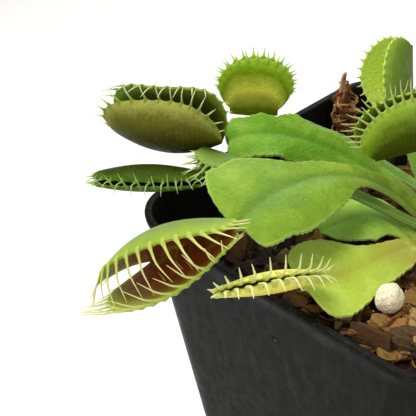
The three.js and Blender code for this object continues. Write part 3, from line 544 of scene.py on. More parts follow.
class Shape:
    """Vertices and faces of one piece, with three numbers per vertex that its material reads."""

    def __init__(self):
        self.points = []
        self.values = []
        self.faces = []
        self.count = 0

    def add(self, points, values=(0, 0, 0)):
        """Add a point or a grid of points, and return their vertex numbers."""
        points = np.asarray(points, float)
        values = np.broadcast_to(np.asarray(values, float), points.shape)
        index = self.count + np.arange(points.size // 3).reshape(points.shape[:-1])
        self.points.append(points.reshape(-1, 3))
        self.values.append(values.reshape(-1, 3))
        self.count += index.size
        return index

    def grid(self, index, flip=False):
        """Quads over a grid of vertex numbers."""
        corners = [index[:-1, :-1], index[1:, :-1], index[1:, 1:], index[:-1, 1:]]
        if flip:
            corners.reverse()
        self.faces += np.stack(corners, -1).reshape(-1, 4).tolist()

    def fan(self, middle, ring, flip=False):
        """Triangles between a middle point and a ring of vertex numbers."""
        middle = int(self.add(middle))
        ring = ring.tolist()
        for a, b in zip(ring, ring[1:] + ring[:1]):
            self.faces.append([middle, b, a] if flip else [middle, a, b])

    def solid(self, points, faces, values=(0, 0, 0)):
        """A ready-made closed solid."""
        start = self.count
        self.add(points, values)
        self.faces += (np.asarray(faces) + start).tolist()

    def rings(self, points, values=(0, 0, 0)):
        """Closed solid of rings of points, flat at both ends."""
        index = self.add(points, values)
        self.grid(closed(index), flip=True)
        self.faces += [index[0, ::-1].tolist(), index[-1].tolist()]

    def tube(self, line, radii, values, sides, flat=(0.31, 0.42, 0.85), squeeze=1.0):
        """Closed tube along a line of points, squeezed across the direction flat."""
        forward = unit(np.gradient(line, axis=0))
        first = unit(flat - (forward @ flat)[:, None] * forward)
        second = np.cross(forward, first)
        angle = angles_around(sides)[:, None]
        ring = first[:, None] * np.cos(angle) + squeeze * second[:, None] * np.sin(angle)
        radii = np.broadcast_to(radii, len(line))[:, None, None]
        self.rings(line[:, None] + radii * ring, np.reshape(values, (-1, 1, 3)))

    def sheet(self, first, second, across):
        """Closed sheet between two grids of points, marked with its share along, across and layer."""
        normal = np.cross(np.gradient(first, axis=0), np.gradient(first, axis=1))
        facing = ((first - second) * normal).sum() > 0
        marks = np.zeros(first.shape)
        marks[..., 0] = np.linspace(0, 1, len(first))[:, None]
        marks[..., 1] = across
        a = self.add(first, marks)
        b = self.add(second, marks + [0, 0, 1])
        self.grid(a, flip=not facing)
        self.grid(b, flip=facing)
        edges = [(a[0], b[0]), (a[-1, ::-1], b[-1, ::-1]), (a[::-1, 0], b[::-1, 0]), (a[:, -1], b[:, -1])]
        for near, far in edges:
            self.grid(np.stack([near, far]), flip=not facing)

    def make(self, name, material, replaces=(), sharp=50):
        mesh = bpy.data.meshes.new(name)
        mesh.from_pydata((np.vstack(self.points) * MM).tolist(), [], self.faces)
        values = mesh.attributes.new("form", "FLOAT_VECTOR", "POINT")
        values.data.foreach_set("vector", np.vstack(self.values).astype(np.float32).ravel())
        mesh.shade_smooth()
        mesh.set_sharp_from_angle(angle=math.radians(sharp))
        mesh.materials.append(material)
        piece = put(name, mesh)
        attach(piece, "root")
        if replaces:
            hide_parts(*replaces)
        return piece


class Rib:
    """Midrib of a stalk: a cubic curve measured along its length, with the way up at each point."""

    def __init__(self, leaf):
        a, b, c, d = (above_rim(point) for point in leaf["rib"])
        t = np.linspace(0, 1, RIB_STEPS + 1)[:, None]
        self.points = (1 - t) ** 3 * a + 3 * (1 - t) ** 2 * t * b + 3 * (1 - t) * t**2 * c + t**3 * d
        self.along = lengths(self.points)
        self.length = self.along[-1]
        self.forward = unit(np.gradient(self.points, axis=0))
        start, end = unit(leaf["up"])
        normal = between(start, end, (self.along / self.length)[:, None])
        level = (normal * self.forward).sum(1, keepdims=True)
        self.normal = unit(normal - level * self.forward)

    def frame(self, along):
        """Point, way up and way to the left at each distance along the rib, or beyond its end."""
        inside = np.clip(along, 0, self.length)

        def pick(rows):
            return np.stack([np.interp(inside, self.along, column) for column in rows.T], -1)

        forward, normal = unit(pick(self.forward)), unit(pick(self.normal))
        point = pick(self.points) + (along - inside)[..., None] * forward
        return point, normal, np.cross(normal, forward)


def wing(leaf, rib, side, seed):
    """Upper surface of one wing of a stalk from midrib to margin, its distance from the rib and way up."""
    rows, columns = STALK_GRID
    outline = by_side([leaf.get("left", leaf["right"]), leaf["right"]], side)
    widest = max(out for _, out in outline)
    t = np.linspace(0, 1, rows + 1)[:, None]
    s = np.linspace(0, 1, columns + 1)
    end = outline_curve(outline, t[:, 0])
    saw = np.abs((t * rib.length / SERRATION_STEP + 0.3 * np.sin(t * 37 + seed)) % 1 - 0.5) * 2
    notch = SERRATION * (saw - 0.5) * np.clip(end[:, 1:] / 4, 0.2, 1)
    along = (1 - s) * t * rib.length + s * end[:, :1]
    out = s * end[:, 1:] + s**10 * notch
    point, normal, across = rib.frame(along)
    fold = math.radians(by_side(leaf["fold"], side))
    bend = math.radians(by_side(leaf["curl"], side) or LEAST_CURL) / widest
    reach = (np.sin(fold + bend * out) - math.sin(fold)) / bend
    rise = (math.cos(fold) - np.cos(fold + bend * out)) / bend
    height, number = leaf["wave"]
    share = out / widest
    # Odd factors keep the waves and veins from falling in step
    ripple = height * share**2 * np.sin(TURN * number * t)
    ripple += 0.3 * height * share**3 * np.sin(TURN * (2.7 * number * t + 0.37 * seed))
    groove = RIB_GROOVE * np.exp(-((out / RIB_WIDTH) ** 2))
    veins = np.sin(TURN * (along / SIDE_VEIN_STEP - 1.2 * share + 0.3 * np.sin(along)))
    lift = rise + ripple - groove + SIDE_VEIN * share * veins
    return point + side * across * reach[..., None] + normal * lift[..., None], out, normal


def stalk_piece(name, leaf, material):
    rib = Rib(leaf)
    seed = len(name)
    left = wing(leaf, rib, 1, seed)
    right = wing(leaf, rib, -1, seed + 2)
    top, out, normal = (joined(a, b) for a, b in zip(left, right))
    across = np.linspace(1, -1, top.shape[1])
    depth = between(BLADE_THICKNESS, MARGIN_THICKNESS, across**4)
    depth = depth + (RIB_THICKNESS - BLADE_THICKNESS) * np.exp(-((out / RIB_WIDTH) ** 2))
    shape = Shape()
    shape.sheet(top, top - normal * depth[..., None], across)
    shape.make("leaf_" + name, material, ["stalk_" + name])
    return top


class Trap:
    """Two kidney-shaped lobes on a hinge, given by their inner faces."""

    def __init__(self, form):
        self.form = form = USUAL_TRAP | form
        base = above_rim(form["base"])
        ahead = above_rim(form["tip"]) - base
        self.hinge = np.linalg.norm(ahead) - LOBE_THICKNESS
        self.ahead = unit(ahead)
        mouth = unit(form["mouth"])
        self.forth = unit(mouth - mouth @ self.ahead * self.ahead)
        self.sideways = np.cross(self.ahead, self.forth)
        (left, _), (right, _) = form["open"]
        self.hinge_depth = LOBE_THICKNESS / math.sin(math.radians((left + right) / 2))
        self.origin = base + self.ahead * LOBE_THICKNESS / 2 + self.forth * self.hinge_depth
        self.half = form["half"] - LOBE_THICKNESS
        self.height = form["height"] - LOBE_THICKNESS
        start = math.acos(min(0.98, self.hinge / 2 / self.half))
        self.fullness = math.sin(start)
        self.reach = self.height / (1 + self.fullness)
        self.middle = self.height - self.reach
        self.low, self.high = -start + LOBE_END, math.pi + start - LOBE_END

    def rim(self, u):
        """Rim of a lobe laid flat: u from 0 at the stalk to 1 at the tip."""
        angle = between(self.low, self.high, u)
        slant = self.form["lead"] * (np.sin(angle) + self.fullness) / (1 + self.fullness)
        along = self.hinge / 2 - self.half * np.cos(angle) + slant
        return along, self.middle + self.reach * np.sin(angle), angle

    def point(self, along, out, side, depth=0.0):
        """Inner face of a lobe, or a point a depth outside it; side is 1 for left, -1 for right."""
        hinge, rim = np.radians(by_side(self.form["open"], side))
        q = (along - self.hinge / 2) / self.half
        reach = self.reach * between(1, np.sqrt(np.maximum(0, 1 - q * q)), self.form["shut"])
        bend = (rim - hinge) / (self.middle + reach)
        lean = hinge + bend * out
        forth = (np.sin(lean) - math.sin(hinge)) / bend
        away = (math.cos(hinge) - np.cos(lean)) / bend
        forth = forth - depth * np.sin(lean) - self.form["bow"] * (1 - q * q)
        away = side * (away * (1 - self.form["cup"] * q * q) + depth * np.cos(lean))
        axes = zip((along, forth, away), (self.ahead, self.forth, self.sideways))
        return self.origin + sum(distance[..., None] * axis for distance, axis in axes)

    def place(self, u, s, side, depth=0.0):
        """Point at rim position u and share s of the way from hinge to rim."""
        u = np.asarray(u)
        along, out, _ = self.rim(u)
        start = self.hinge * u
        return self.point(between(start, along, s), out * s, side, depth)

    def lobe(self, side):
        """Inner and outer face of a lobe, as grids from stalk to tip and from hinge to rim."""
        rows, columns = LOBE_GRID
        u = np.linspace(0, 1, rows + 1)[:, None]
        s = np.linspace(0, 1, columns + 1)
        teeth = self.form["teeth"]
        phase = u * (2 * teeth + 1) / 2 - by_side([0.75, 0.25], side)
        arch = ARCH * (0.5 - 0.5 * np.cos(TURN * phase)) * np.sin(math.pi * u) ** 0.5
        share = s * (1 - arch * s**14 / self.height)
        veins = LOBE_VEIN * np.sin(TURN * u * 2.5 * teeth) * np.sin(math.pi * s)
        inner = self.place(u, share, side)
        outer = self.place(u, share, side, LOBE_THICKNESS * (1 - LOBE_TAPER * s**8) + veins)
        outer[:, 0] = inner[:, 0] - self.hinge_depth * self.forth
        return inner, outer

    def tooth_places(self, side):
        """Rim positions of the teeth of a lobe: every other rim step, and not at its very ends."""
        steps = 2 * self.form["teeth"] + 1
        spots = (np.arange(by_side([1, 0], side), steps, 2) + 0.5) / steps
        return [u for u in spots if math.sin(self.rim(u)[2]) > TOOTH_START]

    def tooth_direction(self, angle, side, lean):
        slant = by_side(self.form["sweep"], side) - math.cos(angle)
        flat = unit([slant * self.reach, max(math.sin(angle), TOOTH_RISE) * self.half])
        out = math.cos(lean) * self.forth + side * math.sin(lean) * self.sideways
        return flat[0] * self.ahead + flat[1] * out

    def tooth(self, side, u, long, wander):
        """Centre line of a tooth, from inside the rim to its tip."""
        _, _, angle = self.rim(u)
        inward = between(END_LEAN, 1, math.sin(math.pi * u))
        root_lean, tip_lean = np.radians(by_side(self.form["lean"], side)) * inward
        inside = 1 - TOOTH_DEPTH / self.height
        line = [self.place(u, share, side, LOBE_THICKNESS / 2) for share in (inside, 1.0)]
        for k in range(TOOTH_STEPS):
            share = (k + 0.5) / TOOTH_STEPS
            lean = between(root_lean, tip_lean, smooth_step((share - TOOTH_KNEE) / 0.4 + 0.5))
            step = unit(self.tooth_direction(angle, side, lean) + wander * share)
            line.append(line[-1] + step * long / TOOTH_STEPS)
        return np.array(line)


def trap_piece(name, form, material, generator):
    trap = Trap(form)
    inner, outer = (joined(a, b) for a, b in zip(trap.lobe(1), trap.lobe(-1)))
    shape = Shape()
    shape.sheet(inner, outer, np.abs(np.linspace(-1, 1, outer.shape[1])))
    stout, root = TOOTH_BUILD[name]
    for side in (1, -1):
        for u in trap.tooth_places(side):
            long = form["length"] * between(TOOTH_ENDS, 1, math.sin(math.pi * u))
            long *= generator.uniform(0.93, 1.05)
            line = trap.tooth(side, u, long, 0.1 * generator.normal(size=3))
            clear = np.clip(np.linspace(-0.1, 1, len(line)), 0, 1)
            flare = 0.5 * root * TOOTH_ROOT * np.exp(-clear * 9)
            radii = stout * between(TOOTH_MIDDLE, TOOTH_TIP, clear**1.6) + flare
            edge = trap.place([u - 0.01, u + 0.01], 1.0, side)
            marks = np.stack([0 * clear + u, clear, 0 * clear + 2], -1)
            shape.tube(line, radii, marks, 8, edge[1] - edge[0], TOOTH_FLAT)
        for u, s in TRIGGERS:
            trigger_hair(shape, trap, side, u, s)
    shape.make("lobes_" + name, material, ["trap_" + name])
    return outer


def trigger_hair(shape, trap, side, u, s):
    """Short stiff hair on the inner face of a lobe."""
    away = unit(trap.place(u, s, side) - trap.place(u, s, side, 1.0))
    line = trap.place(u, s, side, 0.3) + away * np.linspace(0, 0.3 + 0.12 * trap.height, 5)[:, None]
    shape.tube(line, np.linspace(0.12, 0.03, 5), (u, 0.6, 2.0), 5)


def wall_side(height):
    """Outer width of the pot at a height, without its bead."""
    return BASE_SIDE + (RIM_SIDE - 2 * BEAD_OUT - BASE_SIDE) * height / RIM


def rounded_square(side, radius, side_steps):
    """Outline of a square with rounded corners, counter-clockwise."""
    centre = side / 2 - radius
    angle = np.linspace(0, math.pi / 2, POT_CORNER_STEPS + 1)
    step = np.linspace(0, 2 * centre, side_steps + 1)[1:-1]
    corner = centre + radius * np.column_stack([np.cos(angle), np.sin(angle)])
    quarters = [np.vstack([corner, np.column_stack([centre - step, side / 2 + 0 * step])])]
    for _ in range(3):
        quarters.append(quarters[-1][:, ::-1] * [-1, 1])
    return np.vstack(quarters)


def wall_ring(height, inset, side_steps=POT_SIDE_STEPS):
    """Outline of the pot's wall at a height, moved in from the outer face by an inset."""
    radius = BASE_RADIUS + (RIM_RADIUS - BEAD_OUT - BASE_RADIUS) * height / RIM - inset
    flat = rounded_square(wall_side(height) - 2 * inset, radius, side_steps)
    return np.column_stack([flat, np.full(len(flat), height)])


def pot_shell(material):
    """Pot made of rings, each given by its height and how far it lies in from the outer wall."""
    bead_foot = RIM - BEAD_HEIGHT
    profile = [(0.0, BASE_CHAMFER), (0.25, 0.3), (BASE_CHAMFER, 0.0)]
    profile += [(height, 0.0) for height in np.linspace(2.5, bead_foot - BEAD_OUT, 26)]
    profile += [(bead_foot - 0.5 * BEAD_OUT, -0.35 * BEAD_OUT), (bead_foot, -BEAD_OUT)]
    profile += [(RIM - 0.45, -BEAD_OUT), (RIM - 0.15, -0.8 * BEAD_OUT), (RIM, -0.45 * BEAD_OUT)]
    profile += [(RIM, WALL - 0.25), (RIM - 0.12, WALL - 0.06), (RIM - 0.4, WALL)]
    profile += [(height, WALL) for height in np.linspace(RIM - 3, FLOOR + 1, 24)] + [(FLOOR, WALL + 0.3)]
    shape = Shape()
    index = shape.add([wall_ring(height, inset) for height, inset in profile])
    shape.grid(closed(index), flip=True)
    shape.fan([0, 0, 0], index[0], flip=True)
    shape.fan([0, 0, FLOOR], index[-1])
    drill(shape.make("pot_shell", material, ["pot"], sharp=40))


def drill(piece):
    """Drain holes through the floor of the pot."""
    drills = bmesh.new()
    for x in (-DRAIN_OFFSET, DRAIN_OFFSET):
        for y in (-DRAIN_OFFSET, DRAIN_OFFSET):
            bmesh.ops.create_cone(
                drills,
                cap_ends=True,
                segments=DRAIN_STEPS,
                radius1=DRAIN_RADIUS * MM,
                radius2=DRAIN_RADIUS * MM,
                depth=8 * FLOOR * MM,
                matrix=Matrix.Translation((x * MM, y * MM, 0)),
            )
    mesh = bpy.data.meshes.new("drills")
    drills.to_mesh(mesh)
    drills.free()
    tool = put("drills", mesh)
    cut = piece.modifiers.new("drain", "BOOLEAN")
    cut.operation = "DIFFERENCE"
    cut.solver = "EXACT"
    cut.object = tool
    old = piece.data
    result = bpy.data.meshes.new_from_object(piece.evaluated_get(bpy.context.evaluated_depsgraph_get()))
    piece.modifiers.remove(cut)
    piece.data = result
    bpy.data.objects.remove(tool)
    for spare in (old, mesh):
        bpy.data.meshes.remove(spare)


def soil_height(x, y):
    distance = (x - CROWN[0]) ** 2 + (y - CROWN[1]) ** 2
    hollow = SOIL_HOLLOW * np.exp(-distance / (2 * HOLLOW_WIDTH**2))
    return RIM + SOIL_LEVEL - hollow - SOIL_DROP * smooth_step((DROP_START - x) / DROP_LENGTH)


def soil_bed(material):
    inset = WALL + GAP
    ring = wall_ring(RIM, inset, SOIL_SIDE_STEPS)[:, :2]
    edge = ring
    for _ in range(3):
        scale = (wall_side(soil_height(*edge.T)) - 2 * inset) / (wall_side(RIM) - 2 * inset)
        edge = ring * scale[:, None]
    share = (np.arange(1, SOIL_RINGS + 1) / SOIL_RINGS)[:, None]
    flat = share[..., None] * edge
    points = np.dstack([flat, soil_height(flat[..., 0], flat[..., 1])])
    coarse, fine = (bumps(points, size, seed) for size, seed in zip(LUMP_SIZES, (3, 5)))
    points[..., 2] += SOIL_LUMP * (coarse + 0.5 * fine - 0.7) * smooth_step((1 - share) * 12)
    shape = Shape()
    index = shape.add(points)
    shape.grid(closed(index))
    shape.fan([0, 0, soil_height(0.0, 0.0) - SOIL_LUMP], index[0])
    foot = shape.add(wall_ring(FLOOR + GAP, inset, SOIL_SIDE_STEPS))
    shape.grid(closed(np.stack([index[-1], foot])))
    shape.fan([0, 0, FLOOR + GAP], foot, flip=True)
    shape.make("soil_bed", material, ["soil"])


def ball(level):
    """Corners and triangles of a ball made from an icosahedron split the given number of times."""
    mesh = bmesh.new()
    bmesh.ops.create_icosphere(mesh, subdivisions=level, radius=1)
    points = np.array([v.co[:] for v in mesh.verts])
    faces = [[v.index for v in face.verts] for face in mesh.faces]
    mesh.free()
    return points, faces


def turned(points, angles):
    """Points turned about x, then y, then z."""
    for axis, angle in zip("XYZ", angles):
        points = points @ np.array(Matrix.Rotation(angle, 3, axis)).T
    return points


class Ceiling:
    """Height of the lowest leaf above each spot of the soil."""

    def __init__(self, surfaces):
        self.count = int(RIM_SIDE / CEILING_CELL) + 2
        self.height = np.full((self.count, self.count), np.inf)
        for surface in surfaces:
            points = surface.reshape(-1, 3)
            for i, j, z in zip(*self.cells(points), points[:, 2]):
                near = self.height[max(i - 1, 0):i + 2, max(j - 1, 0):j + 2]
                np.minimum(near, z, out=near)

    def cells(self, points):
        spots = ((points[:, :2] + RIM_SIDE / 2) / CEILING_CELL).astype(int)
        return np.clip(spots, 0, self.count - 1).T

    def room(self, points):
        """Smallest distance from any of the points up to the leaves."""
        return (self.height[tuple(self.cells(points))] - points[:, 2]).min()


def inside_pot(points, margin):
    """Whether all points lie inside the pot's wall."""
    half = wall_side(points[:, 2]) / 2 - WALL - margin
    x, y = np.abs(points[:, :2]).T
    corner = np.hypot(np.maximum(x - half + RIM_RADIUS, 0), np.maximum(y - half + RIM_RADIUS, 0))
    return bool((corner < RIM_RADIUS).all() and (np.maximum(x, y) < half).all())


def strewn(name, material, ceiling, generator):
    """Bits strewn over the soil, below the leaves and inside the pot."""
    kind = STREWN[name]
    small, large = kind["sizes"]
    solids = {level: ball(level) for level in set(kind["levels"])}
    shape = Shape()
    placed = 0
    for _ in range(kind["count"] * 4):
        if placed == kind["count"]:
            break
        x, y = generator.uniform(-STREWN_REACH, STREWN_REACH, 2)
        size = between(small, large, generator.uniform() ** 1.7)
        corners, faces = solids[kind["levels"][int(size > (small + large) / 2.6)]]
        points = np.sign(corners) * np.abs(corners) ** kind["boxy"]
        points = points * (1 + STREWN_ROUGH * bumps(points, 0.6, placed * 0.37, 2))[:, None]
        taper, skew = generator.uniform(-STREWN_TAPER, STREWN_TAPER, 2)
        points[:, 1] = points[:, 1] * (1 - taper * points[:, 0]) + skew * points[:, 0]
        width = size * generator.uniform(*STREWN_WIDTHS)
        height = size * generator.uniform(*kind["thin"])
        tilts = [generator.normal() * tilt for tilt in STREWN_TILTS]
        points = turned(points * [size, width, height], (*tilts, generator.uniform(0, TURN)))
        points += [x, y, soil_height(x, y) - points[:, 2].min() - kind["sink"] * height]
        for drop in STREWN_DROPS:
            lowered = points - [0, 0, drop]
            if inside_pot(lowered, 0.15) and ceiling.room(lowered) > STREWN_ROOM:
                shape.solid(lowered, faces, generator.uniform(size=3))
                placed += 1
                break
    shape.make(name, material, sharp=kind["sharp"])


def coir(material, ceiling, generator):
    """Loose fibres on the soil."""
    steps = FIBRES["steps"]
    t = np.linspace(0, 1, steps + 1)
    shape = Shape()
    placed = 0
    for _ in range(FIBRES["count"] * 3):
        if placed == FIBRES["count"]:
            break
        x, y = generator.uniform(-FIBRES["reach"], FIBRES["reach"], 2)
        heading = generator.uniform(0, TURN)
        step = generator.uniform(*FIBRES["length"]) / steps
        bend = generator.normal() * FIBRES["bend"]
        angle = heading + bend * (t - 0.5) + 0.4 * np.sin(9 * t + heading)
        line = step * np.cumsum([np.cos(angle), np.sin(angle), 0 * angle], axis=1).T + [x, y, 0]
        line[:, 2] = soil_height(line[:, 0], line[:, 1]) + generator.uniform(*FIBRES["lift"])
        line[:, 2] += FIBRES["hump"] * np.sin(math.pi * t) * generator.uniform(-0.3, 1)
        if inside_pot(line, FIBRES["room"]) and ceiling.room(line) > FIBRES["room"]:
            tint = generator.uniform(size=3)
            shape.tube(line, generator.uniform(*FIBRES["radius"]), tint, 5)
            placed += 1
    shape.make("coir_fibres", material)


def lump_points(points, at, size, turn):
    """Points of a ball made into a lump that is set down on the soil as in the CAD model."""
    x, y, z = points.T
    bump = 1 + LUMP_BUMP * np.sin(5 * x + 2 * z) * np.cos(4 * y - 3 * z)
    placed = turned(points * bump[:, None] * size, (0, 0, turn))
    spots = [(at[0] + i * size[0] / 2, at[1] + j * size[1] / 2) for i in (-1, 0, 1) for j in (-1, 0, 1)]
    ground = max(float(soil_height(*spot)) for spot in spots)
    return placed + [at[0], at[1], ground + size[2] * (1 + LUMP_BUMP) + GAP]


def grain(name, at, size, material, seed):
    points, faces = ball(LUMP_LEVEL)
    rough = 0.05 * bumps(points, 0.42, seed, 4) + 0.02 * bumps(points, 0.12, seed + 2, 2)
    shape = Shape()
    shape.solid(lump_points(points * (1 + rough)[:, None], at, size, 0), faces)
    shape.make("grain_" + name, material, [name])


def chunk(material):
    points, faces = ball(LUMP_LEVEL)
    edge = np.abs(points).max(1)
    layers = 0.05 * np.sin(14 * points[:, 2] + 3 * bumps(points, 0.7, 4))
    rough = 0.06 * bumps(points, 0.35, 9, 4) + layers - 0.12 * (edge - 0.8)
    shape = Shape()
    shape.solid(lump_points(points * (1 + rough)[:, None], *CHUNK), faces, (0.5, 0.5, 1))
    shape.make("bark_lump", material, ["bark_chunk"])


def tuft_centre(t, foot):
    """Middle of the moss tuft at a share of its height."""
    x, y = TUFT["at"]
    return np.stack([x + TUFT["lean"] * t, y + 0 * t, foot + TUFT["height"] * t], -1)


def tuft_radius(t):
    waist = 0.75 + 0.25 * np.sin(7 * t + 0.6)
    return TUFT["radius"] * waist * np.sqrt(1 - 0.86 * np.clip(t, 0, 1) ** 3)


def tuft_core(shape, foot):
    t = np.linspace(0, 1, 60)[:, None]
    angle = angles_around(48)
    radius = tuft_radius(t) * (0.86 + TUFT_BUMP * np.sin(3 * angle + 4 * t))
    centre = tuft_centre(t, foot)
    rough = TUFT_ROUGH * bumps(circled(centre, radius, angle, 0), 1.3, 2)
    points = circled(centre, radius + rough, angle, 0)
    shape.rings(points, np.stack([0 * t + 0.15, t, 0 * t], -1))


def tuft_strands(shape, foot, generator):
    """Curled strands around the core; those that would reach the pot's wall are left out."""
    k = np.linspace(0, 1, 12)
    for _ in range(TUFT_STRANDS):
        start = generator.uniform(0, 0.92)
        around = generator.uniform(0, TURN)
        climb = generator.uniform(0.05, 0.3) * generator.choice([-0.4, 1, 1])
        theta = around + generator.normal() * 1.3 * k
        height = np.clip(start + climb * k, 0.0, 1.05)
        spread = tuft_radius(height) * 0.92 + generator.uniform(0.1, 2.2) * np.sin(math.pi * k)
        line = circled(tuft_centre(height, foot), spread, theta, 0.4 * np.sin(6 * k + around))
        thick = generator.uniform(0.16, 0.5) * (1 - 0.7 * k)
        tint = [generator.uniform(0.1, 0.85), start, generator.uniform()]
        if inside_pot(line, 0.8):
            shape.tube(line, thick, tint, 6)


def moss_tuft(material, generator):
    """Column of dried moss: a rough core with many curled strands, and one long curl on top."""
    x, y = TUFT["at"]
    foot = soil_height(x + TUFT["radius"], y) + GAP
    shape = Shape()
    tuft_core(shape, foot)
    tuft_strands(shape, foot, generator)
    k = np.linspace(0, 1, 26)
    bend = STRAND["turn"] * k
    line = np.column_stack([
        x + TUFT["lean"] + STRAND["back"] * (1 - np.cos(bend)),
        y + STRAND["side"] * np.sin(bend) * k,
        foot + TUFT["height"] + STRAND["height"] * np.sin(bend / 1.6) - 0.4 * (1 - k),
    ])
    shape.tube(line, between(STRAND["root"], STRAND["end"], k), (0.95, 1, 0.5), 14)
    shape.make("moss_strands", material, ["moss_tuft"])


def crown_heart(material):
    """Pale base of the rosette, with the scars of old leaves around it."""
    radii, heights = np.array(CROWN_PROFILE).T
    share = np.linspace(0, 1, 60)[:, None]
    guide = np.linspace(0, 1, len(radii))
    angle = angles_around(90)
    radius = np.interp(share, guide, radii) * (1 + 0.05 * np.cos(7 * angle + 9 * share))
    shape = Shape()
    shape.rings(circled([*CROWN, RIM], radius, angle, np.interp(share, guide, heights)))
    shape.make("crown_heart", material, ["crown"])


def colour(code):
    """Linear colour of a hex code."""
    parts = [int(code[i:i + 2], 16) / 255 for i in (1, 3, 5)]
    return tuple(p / 12.92 if p <= 0.04045 else ((p + 0.055) / 1.055) ** 2.4 for p in parts) + (1.0,)


class Number:
    """A number that a material's nodes work out, and that can be added to and multiplied."""

    def __init__(self, look, socket):
        self.look = look
        self.socket = socket

    def __add__(self, other):
        return self.look.maths("ADD", self, other)

    def __mul__(self, other):
        return self.look.maths("MULTIPLY", self, other)


class Look:
    """A material and the nodes it is built from. Its coordinates are in millimetres.

    body is its colour so far, over which cover, paint and dots lay further ones.
    """

    def __init__(self, name, body=None):
        self.body = body
        self.material = bpy.data.materials.new(name)
        self.material.use_nodes = True
        self.tree = self.material.node_tree
        self.tree.nodes.clear()
        metres = self.node("ShaderNodeTexCoord").outputs["Object"]
        scale = self.node("ShaderNodeVectorMath", {0: metres, "Scale": 1 / MM}, operation="SCALE")
        self.place = scale.outputs["Vector"]
        form = self.node("ShaderNodeAttribute", attribute_name="form")
        self.x, self.y, self.z = self.split(form.outputs["Vector"])

    def node(self, kind, inputs=(), **settings):
        """A node with some settings, and what is fed to its inputs, by their name or number."""
        node = self.tree.nodes.new(kind)
        for key, value in settings.items():
            setattr(node, key, value)
        for key, value in dict(inputs).items():
            self.feed(node.inputs[key], value)
        return node

    def feed(self, socket, value):
        if isinstance(value, Number):
            value = value.socket
        if isinstance(value, bpy.types.NodeSocket):
            self.tree.links.new(value, socket)
        else:
            socket.default_value = colour(value) if isinstance(value, str) else value

    def split(self, vector):
        node = self.node("ShaderNodeSeparateXYZ", {0: vector})
        return [Number(self, socket) for socket in node.outputs]

    def height(self):
        return self.split(self.place)[2]

    def distance(self, place):
        node = self.node("ShaderNodeVectorMath", {0: self.place, 1: place}, operation="DISTANCE")
        return Number(self, node.outputs["Value"])

    def maths(self, kind, *values):
        node = self.node("ShaderNodeMath", enumerate(values), operation=kind)
        return Number(self, node.outputs[0])

    def mix(self, share, first, second):
        node = self.node("ShaderNodeMix", {0: share, 6: first, 7: second}, data_type="RGBA")
        return node.outputs[2]

    def noise(self, size, detail, shift, stretch=None, warp=0.0):
        """Cloudy pattern with features of the given size in millimetres."""
        place = self.place
        if stretch:
            place = self.node("ShaderNodeMapping", {"Vector": place, "Scale": stretch}).outputs["Vector"]
        inputs = {"Vector": place, "W": shift, "Scale": 1 / size, "Detail": detail, "Distortion": warp}
        node = self.node("ShaderNodeTexNoise", inputs, noise_dimensions="4D")
        return Number(self, node.outputs["Fac"])

    def cells(self, size):
        """Distance from the nearest of many points, which lie about the given size apart."""
        node = self.node("ShaderNodeTexVoronoi", {"Vector": self.place, "Scale": 1 / size})
        return Number(self, node.outputs["Distance"])

    def spread(self, value, low, high, to_low=0.0, to_high=1.0):
        """Smooth step of a value between two limits."""
        names = ("Value", "From Min", "From Max", "To Min", "To Max")
        inputs = zip(names, (value, low, high, to_low, to_high))
        node = self.node("ShaderNodeMapRange", inputs, interpolation_type="SMOOTHSTEP")
        return Number(self, node.outputs["Result"])

    def patchy(self, size, detail, shift, low, high):
        """Number that drifts between two limits over the surface."""
        return self.spread(self.noise(size, detail, shift), 0.3, 0.7, low, high)

    def ramp(self, value, stops):
        """Colour along a value, given by pairs of a place and a colour."""
        node = self.node("ShaderNodeValToRGB", {0: value})
        points = node.color_ramp.elements
        while len(points) < len(stops):
            points.new(0.5)
        for point, (place, code) in zip(points, stops):
            point.position = place
            point.color = colour(code)
        return node.outputs["Color"]

    def cover(self, tint, share):
        """Lay a colour over the body by a share."""
        self.body = self.mix(share, self.body, tint)

    def paint(self, tint, pattern, low, high, most=1.0, least=0.0):
        """Cover from the least share, where the pattern is low, to the most, where it is high."""
        self.cover(tint, self.spread(pattern, low, high, least, most))

    def dots(self, tint, size, inner, outer, share):
        """Cover small dots by a share. inner, outer: where a dot's edge begins and ends."""
        self.cover(tint, self.spread(self.cells(size), inner, outer, 1.0, 0.0) * share)

    def finish(self, roughness, reliefs, specular=0.5, flesh=0.0):
        """Reliefs are pairs of a pattern and its depth in millimetres, the coarser one first."""
        shader = self.node("ShaderNodeBsdfPrincipled", {
            "Base Color": self.body,
            "Roughness": roughness,
            "Specular IOR Level": specular,
            "Subsurface Weight": flesh,
            "Subsurface Radius": FLESH_COLOUR,
            "Subsurface Scale": FLESH_DEPTH * MM,
        })
        self.node("ShaderNodeOutputMaterial", {"Surface": shader.outputs["BSDF"]})
        normal = shader.inputs["Normal"]
        for pattern, depth in reversed(reliefs):
            node = self.node("ShaderNodeBump", {"Height": pattern, "Distance": depth * MM})
            self.feed(normal, node.outputs["Normal"])
            normal = node.inputs["Normal"]
        return self.material


